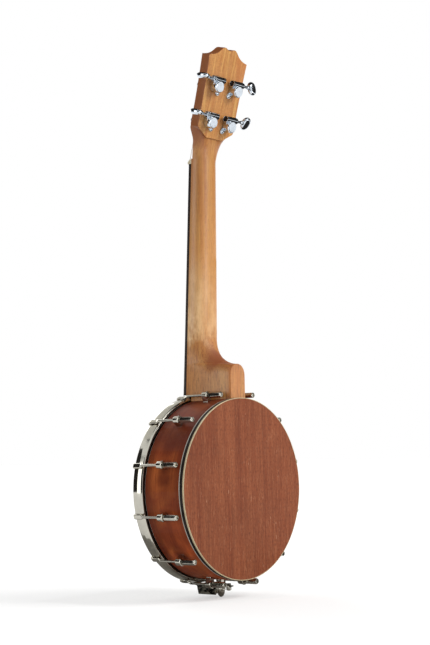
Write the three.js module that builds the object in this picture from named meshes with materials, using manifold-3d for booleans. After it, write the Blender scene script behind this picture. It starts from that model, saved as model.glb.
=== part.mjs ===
// A concert banjo ukulele: a closed wooden pot with a drum head under a chromed
// tension hoop and its hooks, a bolted neck, four geared tuners and four strings.
// Millimetres, +Z up along the neck. The origin is the centre of the pot's flat back,
// whose outer face looks along +Y; the drum head and the strings face -Y.

import * as THREE from 'three';
import { mergeVertices } from 'three/addons/utils/BufferGeometryUtils.js';
import Module from 'manifold-3d';

const wasm = await Module();
wasm.setup();

// Fits and overruns
const seatGap = 0.3;
const glueGap = 0.1;
const boltClearance = 0.3;
const cutOverrun = 5;

// Pot: a bent wooden rim closed by a flat back
const potRadius = 101.6;
const rimWall = 11;
const rimDepth = 66;
const plateThickness = 3.5;
const bindingWidth = 1.5;
const creamHeight = 2;
const blackHeight = 5;
const bearingBevel = 3;
const bearingFlat = 2.5;

// Drum head, its flesh hoop and the tension hoop
const rebateDepth = 3.8;
const rebateLength = 10;
const skinThickness = 0.4;
const skinClearance = 0.2;
const skinSkirt = 7;
const fleshWidth = 2.9;
const fleshHeight = 3.5;
const fleshSetback = 3.5;
const hoopClearance = 0.9;
const hoopWall = 3.6;
const hoopHeight = 12;
const hoopProud = 4;
const hoopRidge = 0.5;
const hoopChamfer = 0.8;
const hoopLipClearance = 0.5;
const hoopLipProud = 1.2;

// Tension hooks with their long nuts, and the shoes that hold them
const hookCount = 12;
const hookOffset = 7.2;
const hookRadius = 1.5;
const clawWidth = 5.6;
const clawThickness = 2.2;
const clawReach = 3;
const clawTail = 1;
const hookGap = 0.4;
const nutAcross = 6;
const nutLength = 18;
const nutEndInset = 0.8;
const nutTaperLength = 1;
const nutEndDepth = 6.7;
const shoeLength = 6.2;
const shoeFlange = 2.2;
const shoeHalfWidth = 4.2;
const shoeFootHalfWidth = 3.2;
const shoeFlangeRadius = 5;
const shoeBoltRadius = 2;
const boltHeadAcross = 7;
const boltHeadHeight = 3;

// Neck, set back a little from the pot's plane
const neckTiltDegrees = 2.2;
const boardProud = 2.8;
const boardThickness = 4;
const boardEndHalfWidth = 22;
const boardNutHalfWidth = 17.5;
const boardHoopGap = 0.5;
const neckDepthAtNut = 14.7;
const neckDepthAtHeel = 18.1;
const heelBackDepth = 6;
const heelTopHeight = 142.6;
const heelHalfWidth = 12.4;
const heelCurveLength = 36;
const neckBackFlat = 0.5;
const neckPower = 2.3;
const heelSidePower = 1.5;
const heelBackPower = 1.25;

// Frets
const scaleLength = 380;
const fretCount = 18;
const boardTailLength = 22.35;
const fretHeight = 0.8;
const fretWidth = 2.2;
const fretCrownWidth = 1;
const fretInset = 1.2;

// Nut
const nutBlockLength = 5;
const nutBlockProud = 1.8;
const nutSlotDepth = 0.9;
const nutSlotWidth = 1.1;
const stringSpacingAtNut = 9;

// Headstock, leaning back, with a two-humped crown
const headAngleDegrees = 13.1;
const headBreakInset = 4;
const headFaceProud = 0.6;
const headFaceStart = 10;
const headThickness = 12;
const headFoot = 36.5;
const headFootHalfWidth = 14;
const headChamfer = 39.6;
const headChamferHalfWidth = 19.2;
const headShoulder = 46.4;
const headShoulderHalfWidth = 30.6;
const headSide = 50;
const headSideHalfWidth = 31.6;
const headWaist = 82;
const headWaistHalfWidth = 30.6;
const headCorner = 130;
const headCornerHalfWidth = 33.3;
const crownFoot = 131.4;
const crownFootHalfWidth = 21.5;
const crownEdge = 137.4;
const crownEdgeHalfWidth = 15.6;
const crownHump = 141.9;
const crownHumpHalfWidth = 11.2;
const crownPeakHalfWidth = 8.6;
const crownDip = 139.7;
const throatStartReach = 4;
const throatEndReach = 40;
const throatHalfWidth = 30.6;
const throatFlareShares = [0, 0.1, 0.206, 0.305, 0.435, 0.725, 1];
const throatPower = 6.5;

// Tuners
const tunerSideOffset = 16.7;
const tunerStation = 54.4;
const tunerSpacing = 41.4;
const postRadius = 3;
const postProud = 11.5;
const postCapRadius = 3.5;
const postCapHeight = 1.4;
const postWaistRadius = 2.5;
const postWaistBottom = 3;
const postWaistTop = 8.6;
const wormOffset = 7.9;
const wormHeight = 5.3;
const gearTeeth = 14;
const gearRadius = 5.1;
const gearToothDepth = 0.8;
const gearThickness = 3.6;
const gearToothShare = 0.5;
const wormRadius = 2.5;
const wormLength = 9;
const runningGap = 0.5;
const housingRadius = 7;
const housingHeight = 9.4;
const housingCapRadius = 6.4;
const housingCapHeight = 1;
const housingWall = 1;
const housingInnerReach = 9.6;
const housingOuterReach = 9.8;
const tabOffset = 7;
const tabRadius = 2.9;
const tabThickness = 1.6;
const tabScrewRadius = 2.1;
const tabScrewHeight = 1.2;
const knobShaftRadius = 1.6;
const knobCollarRadius = 2.6;
const knobCollarLength = 2.4;
const knobCentre = 26.5;
const knobLength = 12.8;
const knobHeight = 16.4;
const knobThickness = 7.4;
const knobTurnsDegrees = [88, 26, 94, -22];
const knobFerruleRadius = 2.5;
const knobFerruleLength = 3;
const bushingHoleRadius = 4.6;
const bushingWall = 0.9;
const bushingDepth = 7;
const bushingFlangeRadius = 5.6;
const bushingFlangeHeight = 1.8;

// Coordinator rod, from the heel to the tail
const rodDepth = 37;
const rodRadius = 4;
const rodEndRadius = 3;
const rodHeelReach = 14;
const rodTailReach = 6;
const rodShoulderGap = 0.4;

// Tail bracket, tailpiece and the dome nut that clamps both
const bracketFrontSetback = 3.4;
const bracketBackDepth = 28.5;
const bracketHalfWidth = 7.6;
const bracketSheet = 1.5;
const bracketWallHeight = 12.4;
const bracketWallSlant = 2.6;
const bracketWallEndDepth = 38.6;
const bracketLowHeight = 3.2;
const bracketCollarRadius = 5.4;
const domeNutAcross = 9;
const domeNutHexHeight = 4.4;
const domeNutDomeHeight = 7;
const domeNutDomeRadius = 4.3;
const tailSheet = 1.5;
const tailLegHalfWidth = 5.4;
const tailLegEndDepth = 22;
const tailScrewDepth = 25.4;
const tailScrewAcross = 5.2;
const tailScrewHeight = 4.2;
const tailShoulderHalfWidth = 9;
const tailEndHalfWidth = 17;
const tailEndHeight = -62;
const tailWidenStart = -96;
const tailWidenEnd = -80;
const tailFrontGap = 0.8;
const tailLipHeight = 2.6;
const tailSlotWidth = 1.8;
const tailSlotLength = 5;
const stringSpacingAtTail = 8.4;

// Bridge
const bridgeHeight = 11.5;
const bridgeHalfLength = 31;
const bridgeTopHalfLength = 24.5;
const bridgeBaseThickness = 6.4;
const bridgeTopThickness = 2.2;
const bridgeFoot = 7;
const bridgeArchHeight = 6.4;
const bridgeMiddleFoot = 3.4;
const bridgeSlotDepth = 0.6;
const bridgeSlotWidth = 1.1;
const stringSpacingAtBridge = 12.6;

// Strings
const stringRadius = 0.35;
const stringGap = 0.25;
const stringEndGap = 0.8;
const windingGap = 0.4;
const windingPitch = 1.25;
const windingTurns = 2.5;
const windingSteps = 12;
const stringSides = 6;
const windingStartProud = 7.6;

// Facets of the round pieces, and steps along the curved ones
const potSides = 60;
const boltSides = 6;
const hookSides = 8;
const shaftSides = 12;
const buttonSides = 14;
const buttonRings = 8;
const sectionSteps = 7;
const heelArchSteps = 5;
const heelCurveSteps = 8;
const headCurveSteps = 6;
const shoeArcSteps = 5;
const domeSteps = 4;
const bridgeCurveSteps = 5;

const quarterTurn = Math.PI / 2;
const halfTurn = Math.PI;
const fullTurn = Math.PI * 2;
const neckTilt = THREE.MathUtils.degToRad(neckTiltDegrees);
const headAngle = THREE.MathUtils.degToRad(headAngleDegrees);

function material(colour, roughness, metalness) {
  return new THREE.MeshStandardMaterial({ color: colour, roughness, metalness });
}

const finishes = {
  mahogany: material(0x93523a, 0.6, 0),
  rimWood: material(0x7d3a22, 0.22, 0),
  cream: material(0xd2c09c, 0.4, 0),
  black: material(0x211d1b, 0.35, 0),
  skin: material(0xece8dc, 0.55, 0),
  chrome: material(0xc9ccd0, 0.16, 1),
  satinNickel: material(0xa9abae, 0.3, 1),
  neckWood: material(0xb87a4a, 0.5, 0),
  board: material(0x1f1815, 0.5, 0),
  maple: material(0xc9a26c, 0.5, 0),
  bone: material(0xe2d9bd, 0.4, 0),
  nylon: material(0xe9e6de, 0.3, 0),
};

// Solids from geometries and back

function weld(geometry) {
  const bare = geometry.clone();
  bare.deleteAttribute('normal');
  bare.deleteAttribute('uv');
  return mergeVertices(bare);
}

function solid(geometry) {
  const welded = weld(geometry);
  return new wasm.Manifold(new wasm.Mesh({
    numProp: 3,
    vertProperties: new Float32Array(welded.attributes.position.array),
    triVerts: new Uint32Array(welded.index.array),
  }));
}

function geometryOf(body) {
  const mesh = body.getMesh();
  const geometry = new THREE.BufferGeometry();
  geometry.setAttribute('position', new THREE.BufferAttribute(mesh.vertProperties, 3));
  geometry.setIndex(new THREE.BufferAttribute(mesh.triVerts, 1));
  geometry.computeVertexNormals();
  return geometry;
}

function joined(...geometries) {
  return geometries.map(solid).reduce((whole, piece) => whole.add(piece));
}

function cutAway(body, ...geometries) {
  return geometries.map(solid).reduce((rest, tool) => rest.subtract(tool), body);
}

function addPiece(parent, name, geometry, finish) {
  const mesh = new THREE.Mesh(geometry, finish.clone());
  mesh.name = name;
  parent.add(mesh);
  return mesh;
}

// Basic shapes

function outlineOf(points) {
  return new THREE.Shape(points.map(([x, y]) => new THREE.Vector2(x, y)));
}

// A turned ring or disc round the pot's axis, from a profile of radius and height
function turned(profile, sides) {
  const points = profile.map(([radius, height]) => new THREE.Vector2(radius, height));
  return new THREE.LatheGeometry(points, sides);
}

function turnedRing(profile, sides) {
  return turned([...profile, profile[0]], sides);
}

function block(low, high) {
  const size = high.map((value, axis) => value - low[axis]);
  const centre = high.map((value, axis) => (value + low[axis]) / 2);
  return new THREE.BoxGeometry(...size).translate(...centre);
}

// Rods along each axis, from start to end
function rodAlongY(radius, start, end, sides) {
  return new THREE.CylinderGeometry(radius, radius, end - start, sides)
    .translate(0, (start + end) / 2, 0);
}

function rodAlongZ(radius, start, end, sides) {
  return new THREE.CylinderGeometry(radius, radius, end - start, sides)
    .rotateX(quarterTurn)
    .translate(0, 0, (start + end) / 2);
}

function rodAlongX(radius, start, end, sides) {
  return new THREE.CylinderGeometry(radius, radius, end - start, sides)
    .rotateZ(quarterTurn)
    .translate((start + end) / 2, 0, 0);
}

function hexRadius(across) {
  return across / 2 / Math.cos(halfTurn / 6);
}

// A plate: an outline of x and z, filled from one y to another
function plateAlongY(outline, start, end) {
  return new THREE.ExtrudeGeometry(outlineOf(outline), { depth: end - start, bevelEnabled: false })
    .rotateX(quarterTurn)
    .translate(0, end, 0);
}

// A side profile: an outline of y and z, as wide as given, centred on x
function profileAcrossX(outline, width) {
  return new THREE.ExtrudeGeometry(outlineOf(outline), { depth: width, bevelEnabled: false })
    .applyMatrix4(new THREE.Matrix4().set(0, 0, 1, 0, 1, 0, 0, 0, 0, 1, 0, 0, 0, 0, 0, 1))
    .translate(-width / 2, 0, 0);
}

// A skin over rings of equally many points, closed at both ends
function loft(rings) {
  const count = rings[0].length;
  const positions = rings.flat().flatMap((point) => point.toArray());
  const faces = [];
  for (let ring = 0; ring + 1 < rings.length; ring += 1) {
    for (let side = 0; side < count; side += 1) {
      const next = (side + 1) % count;
      const low = ring * count;
      const high = low + count;
      faces.push(low + side, low + next, high + next);
      faces.push(low + side, high + next, high + side);
    }
  }
  const last = (rings.length - 1) * count;
  for (let side = 1; side + 1 < count; side += 1) {
    faces.push(0, side + 1, side);
    faces.push(last, last + side, last + side + 1);
  }
  const geometry = new THREE.BufferGeometry();
  geometry.setAttribute('position', new THREE.Float32BufferAttribute(positions, 3));
  geometry.setIndex(faces);
  geometry.computeVertexNormals();
  return geometry;
}

// A round tube through points, with rings square to the way it runs
function tube(points, radius, sides) {
  const direction = (from, to) => new THREE.Vector3().subVectors(points[to], points[from]).normalize();
  const last = points.length - 1;
  let across = new THREE.Vector3(1, 0, 0);
  const rings = points.map((point, index) => {
    const along = direction(Math.max(index - 1, 0), Math.min(index + 1, last));
    across = across.clone().addScaledVector(along, -across.dot(along)).normalize();
    const up = new THREE.Vector3().crossVectors(along, across);
    return Array.from({ length: sides }, (unused, side) => {
      const angle = fullTurn * side / sides;
      return point.clone()
        .addScaledVector(across, radius * Math.cos(angle))
        .addScaledVector(up, radius * Math.sin(angle));
    });
  });
  return loft(rings);
}

// Places that pieces share

// How far a fret lies from the nut
function fretDistance(fret) {
  return scaleLength * (1 - 2 ** (-fret / 12));
}

const rimInnerRadius = potRadius - rimWall;
const bindingInnerRadius = potRadius - bindingWidth;
const rebateRadius = potRadius - rebateDepth;
const skinFront = -rimDepth - skinThickness;
const skirtInnerRadius = rebateRadius + skinClearance;
const skirtOuterRadius = skirtInnerRadius + skinThickness;
const skirtEnd = skinFront + skinSkirt;
const fleshInnerRadius = skirtOuterRadius + glueGap;
const fleshOuterRadius = fleshInnerRadius + fleshWidth;
const fleshFront = skinFront + fleshSetback;
const hoopInnerRadius = potRadius + hoopClearance;
const hoopOuterRadius = hoopInnerRadius + hoopWall;
const hoopFront = skinFront - hoopProud;
const hoopBack = hoopFront + hoopHeight;
const hoopLipRadius = skirtOuterRadius + hoopLipClearance;
const hoopLipFront = skinFront - hoopLipProud;
const hookAxis = potRadius + hookOffset;
const nutEnd = -nutEndDepth;
const nutStart = nutEnd - nutLength;
const shoeBack = nutStart - seatGap;
const shoeMiddle = shoeBack - shoeFlange - shoeLength / 2;
const shoeFront = shoeBack - shoeFlange - shoeLength;
const boardEndHeight = hoopOuterRadius + boardHoopGap;
const boardFrontDepth = rimDepth + boardProud;
const boardLength = fretDistance(fretCount) + boardTailLength;
const neckUnderside = boardThickness;
const headBreak = boardLength - headBreakInset;
const throatStart = boardLength + throatStartReach;
const throatEnd = boardLength + throatEndReach;

const hookAngles = Array.from({ length: hookCount }, (unused, index) => (
  fullTurn * (index + 1 / 2) / hookCount
));

const instrument = new THREE.Group();

// The neck's frame: y from the fingerboard's face into the neck, z along the board
// from its end at the pot. The headstock's frame: y from its front face to its back,
// z along it from where that face leaves the plane under the fingerboard.
const neckFrame = new THREE.Group();
neckFrame.position.set(0, -boardFrontDepth, boardEndHeight);
neckFrame.rotation.x = -neckTilt;
instrument.add(neckFrame);

const headFrame = new THREE.Group();
headFrame.position.set(0, neckUnderside - headFaceProud, headBreak);
headFrame.rotation.x = -headAngle;
neckFrame.add(headFrame);
instrument.updateMatrixWorld(true);

function toPart(frame, x, y, z) {
  return new THREE.Vector3(x, y, z).applyMatrix4(frame.matrixWorld);
}

// Pot

function makeRim() {
  const body = solid(turnedRing([
    [rebateRadius, -rimDepth],
    [rebateRadius, -rimDepth + rebateLength],
    [potRadius, -rimDepth + rebateLength],
    [potRadius, -creamHeight - blackHeight],
    [bindingInnerRadius - glueGap, -creamHeight - blackHeight],
    [bindingInnerRadius - glueGap, -plateThickness],
    [rimInnerRadius, -plateThickness],
    [rimInnerRadius, -rimDepth + bearingBevel],
    [rebateRadius - bearingFlat, -rimDepth],
  ], potSides));
  const boltHoles = hookAngles.map((angle) => (
    rodAlongZ(shoeBoltRadius + boltClearance, rimInnerRadius - cutOverrun, potRadius + cutOverrun, boltSides)
      .translate(0, shoeMiddle, 0)
      .rotateY(angle)
  ));
  const rodHoles = rodAlongZ(
    rodEndRadius + boltClearance, -potRadius - cutOverrun, potRadius + cutOverrun, shaftSides,
  ).translate(0, -rodDepth, 0);
  return geometryOf(cutAway(body, ...boltHoles, rodHoles));
}

addPiece(instrument, 'rim', makeRim(), finishes.rimWood);

addPiece(instrument, 'back_plate', turned([
  [0, -plateThickness],
  [bindingInnerRadius - glueGap, -plateThickness],
  [bindingInnerRadius - glueGap, 0],
  [0, 0],
], potSides), finishes.mahogany);

function makeBinding(front, back) {
  return turnedRing([
    [potRadius, front],
    [potRadius, back],
    [bindingInnerRadius, back],
    [bindingInnerRadius, front],
  ], potSides);
}

addPiece(instrument, 'binding_cream', makeBinding(-creamHeight, 0), finishes.cream);
addPiece(instrument, 'binding_black', makeBinding(-creamHeight - blackHeight, -creamHeight), finishes.black);

addPiece(instrument, 'drum_head', turned([
  [0, skinFront],
  [skirtOuterRadius, skinFront],
  [skirtOuterRadius, skirtEnd],
  [skirtInnerRadius, skirtEnd],
  [skirtInnerRadius, -rimDepth],
  [0, -rimDepth],
], potSides), finishes.skin);

addPiece(instrument, 'flesh_hoop', turnedRing([
  [fleshOuterRadius, fleshFront],
  [fleshOuterRadius, fleshFront + fleshHeight],
  [fleshInnerRadius, fleshFront + fleshHeight],
  [fleshInnerRadius, fleshFront],
], potSides), finishes.satinNickel);

addPiece(instrument, 'tension_hoop', turnedRing([
  [hoopOuterRadius - hoopChamfer, hoopFront],
  [hoopOuterRadius - hoopRidge, hoopFront + hoopChamfer],
  [hoopOuterRadius, hoopFront + hoopHeight / 2],
  [hoopOuterRadius, hoopBack],
  [hoopInnerRadius, hoopBack],
  [hoopInnerRadius, fleshFront - seatGap],
  [hoopLipRadius, fleshFront - seatGap],
  [hoopLipRadius, hoopLipFront],
  [hoopInnerRadius, hoopFront],
], potSides), finishes.chrome);

// Hooks and shoes, built over the top of the pot and turned to their places

function makeHook() {
  const shaft = rodAlongY(hookRadius, hoopBack - clawTail, nutStart + nutLength / 2, hookSides)
    .translate(0, 0, hookAxis);
  const clawFront = hoopFront - hookGap - clawThickness;
  const clawInner = hoopOuterRadius + hookGap;
  const clawOuter = hookAxis + hookRadius;
  const claw = profileAcrossX([
    [hoopBack + clawTail, hookAxis - hookRadius / 2],
    [hoopBack + clawTail, hookAxis + hookRadius / 2],
    [hoopBack, clawOuter],
    [clawFront + clawThickness, clawOuter],
    [clawFront + clawThickness / 3, clawOuter - clawThickness / 3],
    [clawFront, clawOuter - clawThickness],
    [clawFront, hoopOuterRadius - clawReach],
    [hoopFront - hookGap, hoopOuterRadius - clawReach],
    [hoopFront - hookGap, clawInner],
    [hoopBack, clawInner],
  ], clawWidth);
  const taperRadius = hexRadius(nutAcross) - nutEndInset;
  const longNut = turned([
    [0, nutStart],
    [hexRadius(nutAcross), nutStart],
    [hexRadius(nutAcross), nutEnd - nutTaperLength],
    [taperRadius, nutEnd],
    [0, nutEnd],
  ], 6).translate(0, 0, hookAxis);
  return geometryOf(joined(shaft, claw, longNut));
}

function shoeOutline() {
  const foot = potRadius + seatGap;
  const arch = new THREE.Path();
  arch.moveTo(-shoeFootHalfWidth, foot);
  arch.lineTo(shoeFootHalfWidth, foot);
  arch.absarc(0, hookAxis, shoeHalfWidth, 0, halfTurn, false);
  return arch.getPoints(shoeArcSteps).map((point) => [point.x, point.y]);
}

function makeShoe() {
  const body = plateAlongY(shoeOutline(), shoeFront, shoeBack - shoeFlange / 2);
  const flange = rodAlongY(shoeFlangeRadius, shoeBack - shoeFlange, shoeBack, shaftSides)
    .translate(0, 0, hookAxis);
  const boltHead = potRadius - rimWall - seatGap;
  const bolt = rodAlongZ(
    shoeBoltRadius, boltHead - boltHeadHeight / 2, potRadius + shoeFlange, boltSides,
  ).translate(0, shoeMiddle, 0);
  const head = rodAlongZ(hexRadius(boltHeadAcross), boltHead - boltHeadHeight, boltHead, 6)
    .translate(0, shoeMiddle, 0);
  const hookHole = rodAlongY(
    hookRadius + boltClearance, shoeFront - cutOverrun, shoeBack + cutOverrun, hookSides,
  ).translate(0, 0, hookAxis);
  return geometryOf(cutAway(joined(body, flange, bolt, head), hookHole));
}

hookAngles.forEach((angle, index) => {
  const number = String(index + 1).padStart(2, '0');
  addPiece(instrument, `tension_hook_${number}`, makeHook(), finishes.chrome).rotation.y = angle;
  addPiece(instrument, `hook_shoe_${number}`, makeShoe(), finishes.chrome).rotation.y = angle;
});

// Neck with its heel and headstock

function boardHalfWidth(station) {
  const share = THREE.MathUtils.clamp(station / boardLength, 0, 1);
  return THREE.MathUtils.lerp(boardEndHalfWidth, boardNutHalfWidth, share);
}

// One slice across the neck: flat under the board, full at the sides, and as wide
// as backHalf where it is deepest. The powers set how full its corners are.
function neckSlice(station, half, depth, backHalf, sidePower, backPower) {
  const side = [];
  for (let step = 0; step <= sectionSteps; step += 1) {
    const angle = quarterTurn * step / sectionSteps;
    const out = step === sectionSteps ? 0 : Math.cos(angle) ** (2 / sidePower);
    const down = Math.sin(angle) ** (2 / backPower);
    side.push([backHalf + (half - backHalf) * out, neckUnderside + depth * down]);
  }
  const left = side.map(([x, y]) => new THREE.Vector3(x, y, station));
  const right = side.map(([x, y]) => new THREE.Vector3(-x, y, station)).reverse();
  return [...left, ...right];
}

function heelDepthAt(station) {
  const deepest = boardFrontDepth - heelBackDepth - neckUnderside + station * Math.tan(-neckTilt);
  const top = heelTopHeight - boardEndHeight;
  const along = THREE.MathUtils.clamp((station - top) / heelCurveLength, 0, 1);
  const drop = Math.sqrt(1 - (1 - along) ** 2);
  return THREE.MathUtils.lerp(deepest, neckDepthAtHeel, drop);
}

function makeNeckBody() {
  const top = heelTopHeight - boardEndHeight;
  const archFoot = top - heelHalfWidth;
  const slices = [];
  const heelStations = [-cutOverrun * 2, archFoot];
  for (let step = 1; step <= heelArchSteps; step += 1) {
    heelStations.push(archFoot + heelHalfWidth * Math.sin(quarterTurn * step / heelArchSteps));
  }
  heelStations.forEach((station) => {
    const rise = Math.max(station - archFoot, 0) / heelHalfWidth;
    const backHalf = Math.max(heelHalfWidth * Math.sqrt(1 - Math.min(rise, 1) ** 2), neckBackFlat);
    slices.push(neckSlice(
      station, boardHalfWidth(station), heelDepthAt(station), backHalf, heelSidePower, heelBackPower,
    ));
  });
  for (let step = 1; step <= heelCurveSteps; step += 1) {
    const along = (step / heelCurveSteps) ** 2;
    const station = top + heelCurveLength * along;
    const sidePower = THREE.MathUtils.lerp(heelSidePower, neckPower, along);
    const backPower = THREE.MathUtils.lerp(heelBackPower, neckPower, along);
    slices.push(neckSlice(
      station, boardHalfWidth(station), heelDepthAt(station), neckBackFlat, sidePower, backPower,
    ));
  }
  slices.push(neckSlice(
    throatStart, boardNutHalfWidth, neckDepthAtNut, neckBackFlat, neckPower, neckPower,
  ));
  return loft(slices);
}

// The throat widens from the neck into the headstock's foot
function makeThroat() {
  const backFace = headThickness / Math.cos(headAngle) - headFaceProud;
  const endDepth = (throatEnd - headBreak) * Math.tan(headAngle) + backFace;
  return loft(throatFlareShares.map((flareShare, step) => {
    const share = step / (throatFlareShares.length - 1);
    const half = THREE.MathUtils.lerp(boardNutHalfWidth, throatHalfWidth, flareShare);
    const station = THREE.MathUtils.lerp(throatStart, throatEnd, share);
    const depth = THREE.MathUtils.lerp(neckDepthAtNut, endDepth - seatGap, share ** 2);
    const power = THREE.MathUtils.lerp(neckPower, throatPower, share ** 3);
    return neckSlice(station, half, depth, neckBackFlat, power, power);
  }));
}

function headstockOutline() {
  const half = new THREE.Path();
  half.moveTo(headFootHalfWidth, headFoot);
  half.lineTo(headChamferHalfWidth, headChamfer);
  half.lineTo(headShoulderHalfWidth, headShoulder);
  half.lineTo(headSideHalfWidth, headSide);
  half.quadraticCurveTo(headWaistHalfWidth, headWaist, headCornerHalfWidth, headCorner);
  half.quadraticCurveTo(crownFootHalfWidth, crownFoot, crownEdgeHalfWidth, crownEdge);
  half.quadraticCurveTo(crownHumpHalfWidth, crownHump, crownPeakHalfWidth, crownHump);
  half.bezierCurveTo(
    crownPeakHalfWidth / 2, crownHump,
    crownPeakHalfWidth / 2, crownDip,
    0, crownDip,
  );
  const right = half.getPoints(headCurveSteps).map((point) => [point.x, point.y]);
  const left = right.slice(0, -1).reverse().map(([x, z]) => [-x, z]);
  return [...right, ...left];
}

const tunerStations = [tunerStation, tunerStation + tunerSpacing];

function tunerPlaces() {
  const sides = [1, -1];
  return tunerStations.flatMap((station) => sides.map((side) => ({ station, side })));
}

function inHeadFrame(geometry) {
  headFrame.updateMatrix();
  return geometry.applyMatrix4(headFrame.matrix);
}

function inPotFrame(geometry) {
  return geometry.applyMatrix4(neckFrame.matrixWorld.clone().invert());
}

function makeNeck() {
  const headstock = inHeadFrame(plateAlongY(headstockOutline(), 0, headThickness));
  const body = joined(makeNeckBody(), makeThroat(), headstock);
  const farSide = boardLength * 2;
  const overHead = inHeadFrame(block(
    [-potRadius, -potRadius, headFaceStart],
    [potRadius, 0, farSide],
  ));
  const pot = inPotFrame(rodAlongY(potRadius + seatGap, -boardFrontDepth - potRadius, potRadius, potSides));
  const hoop = inPotFrame(rodAlongY(
    hoopOuterRadius + boardHoopGap, -boardFrontDepth - potRadius, hoopBack + boardHoopGap, potSides,
  ));
  const rodHole = inPotFrame(rodAlongZ(
    rodEndRadius + boltClearance, 0, potRadius + rodHeelReach + seatGap, shaftSides,
  ).translate(0, -rodDepth, 0));
  const postHoles = tunerPlaces().map(({ station, side }) => inHeadFrame(
    rodAlongY(bushingHoleRadius, -cutOverrun, headThickness + cutOverrun, shaftSides)
      .translate(side * tunerSideOffset, 0, station),
  ));
  return geometryOf(cutAway(body, overHead, pot, hoop, rodHole, ...postHoles));
}

addPiece(neckFrame, 'neck', makeNeck(), finishes.neckWood);

// Fingerboard with its frets

function makeFingerboard() {
  const board = plateAlongY([
    [-boardEndHalfWidth, 0],
    [boardEndHalfWidth, 0],
    [boardNutHalfWidth, boardLength],
    [-boardNutHalfWidth, boardLength],
  ], 0, boardThickness - seatGap);
  const frets = [];
  for (let fret = 1; fret <= fretCount; fret += 1) {
    const station = boardLength - fretDistance(fret);
    const width = (boardHalfWidth(station) - fretInset) * 2;
    frets.push(profileAcrossX([
      [boardThickness / 3, station - fretWidth / 2],
      [boardThickness / 3, station + fretWidth / 2],
      [0, station + fretWidth / 2],
      [-fretHeight, station + fretCrownWidth / 2],
      [-fretHeight, station - fretCrownWidth / 2],
      [0, station - fretWidth / 2],
    ], width));
  }
  return geometryOf(joined(board, ...frets));
}

addPiece(neckFrame, 'fingerboard', makeFingerboard(), finishes.board);

const stringShares = [3 / 2, 1 / 2, -1 / 2, -3 / 2];

function makeNut() {
  const start = boardLength + seatGap;
  const end = start + nutBlockLength;
  const body = solid(profileAcrossX([
    [boardThickness - seatGap, start],
    [boardThickness - seatGap, end],
    [0, end],
    [-nutBlockProud, start + nutBlockLength / 2],
    [-nutBlockProud, start],
  ], boardNutHalfWidth * 2));
  const slots = stringShares.map((share) => block(
    [share * stringSpacingAtNut - nutSlotWidth / 2, -nutBlockProud - cutOverrun, start - cutOverrun],
    [share * stringSpacingAtNut + nutSlotWidth / 2, nutSlotDepth - nutBlockProud, end + cutOverrun],
  ));
  return geometryOf(cutAway(body, ...slots));
}

addPiece(neckFrame, 'nut', makeNut(), finishes.bone);

// Tuners: in each one's own frame the post runs along y from the headstock's back
// face, x points out to the button's side, and z along the headstock to its tip.

function gearOutline() {
  const points = [];
  for (let tooth = 0; tooth < gearTeeth; tooth += 1) {
    const middle = fullTurn * tooth / gearTeeth;
    const half = halfTurn / gearTeeth;
    const corners = [
      [gearRadius - gearToothDepth, middle - half],
      [gearRadius, middle - half * gearToothShare],
      [gearRadius, middle + half * gearToothShare],
    ];
    corners.forEach(([radius, angle]) => {
      points.push([radius * Math.cos(angle), radius * Math.sin(angle)]);
    });
  }
  return points;
}

function makePost() {
  const tip = -headThickness - postProud;
  const gearTop = wormHeight + gearThickness / 2;
  const shaft = turned([
    [0, tip],
    [postCapRadius, tip + postCapHeight / 3],
    [postCapRadius, tip + postCapHeight],
    [postWaistRadius, -headThickness - postWaistTop],
    [postWaistRadius, -headThickness - postWaistBottom],
    [postRadius, -headThickness - postWaistBottom + seatGap],
    [postRadius, gearTop],
    [0, gearTop],
  ], shaftSides);
  const gear = plateAlongY(gearOutline(), gearTop - gearThickness, gearTop);
  return geometryOf(joined(shaft, gear));
}

function makeBushing() {
  const sleeveRadius = bushingHoleRadius - seatGap;
  const bore = sleeveRadius - bushingWall;
  const face = -headThickness;
  return turnedRing([
    [bushingFlangeRadius, face - bushingFlangeHeight],
    [bushingFlangeRadius, face - seatGap],
    [sleeveRadius, face - seatGap],
    [sleeveRadius, face + bushingDepth],
    [bore, face + bushingDepth],
    [bore, face - bushingFlangeHeight],
  ], shaftSides);
}

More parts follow.
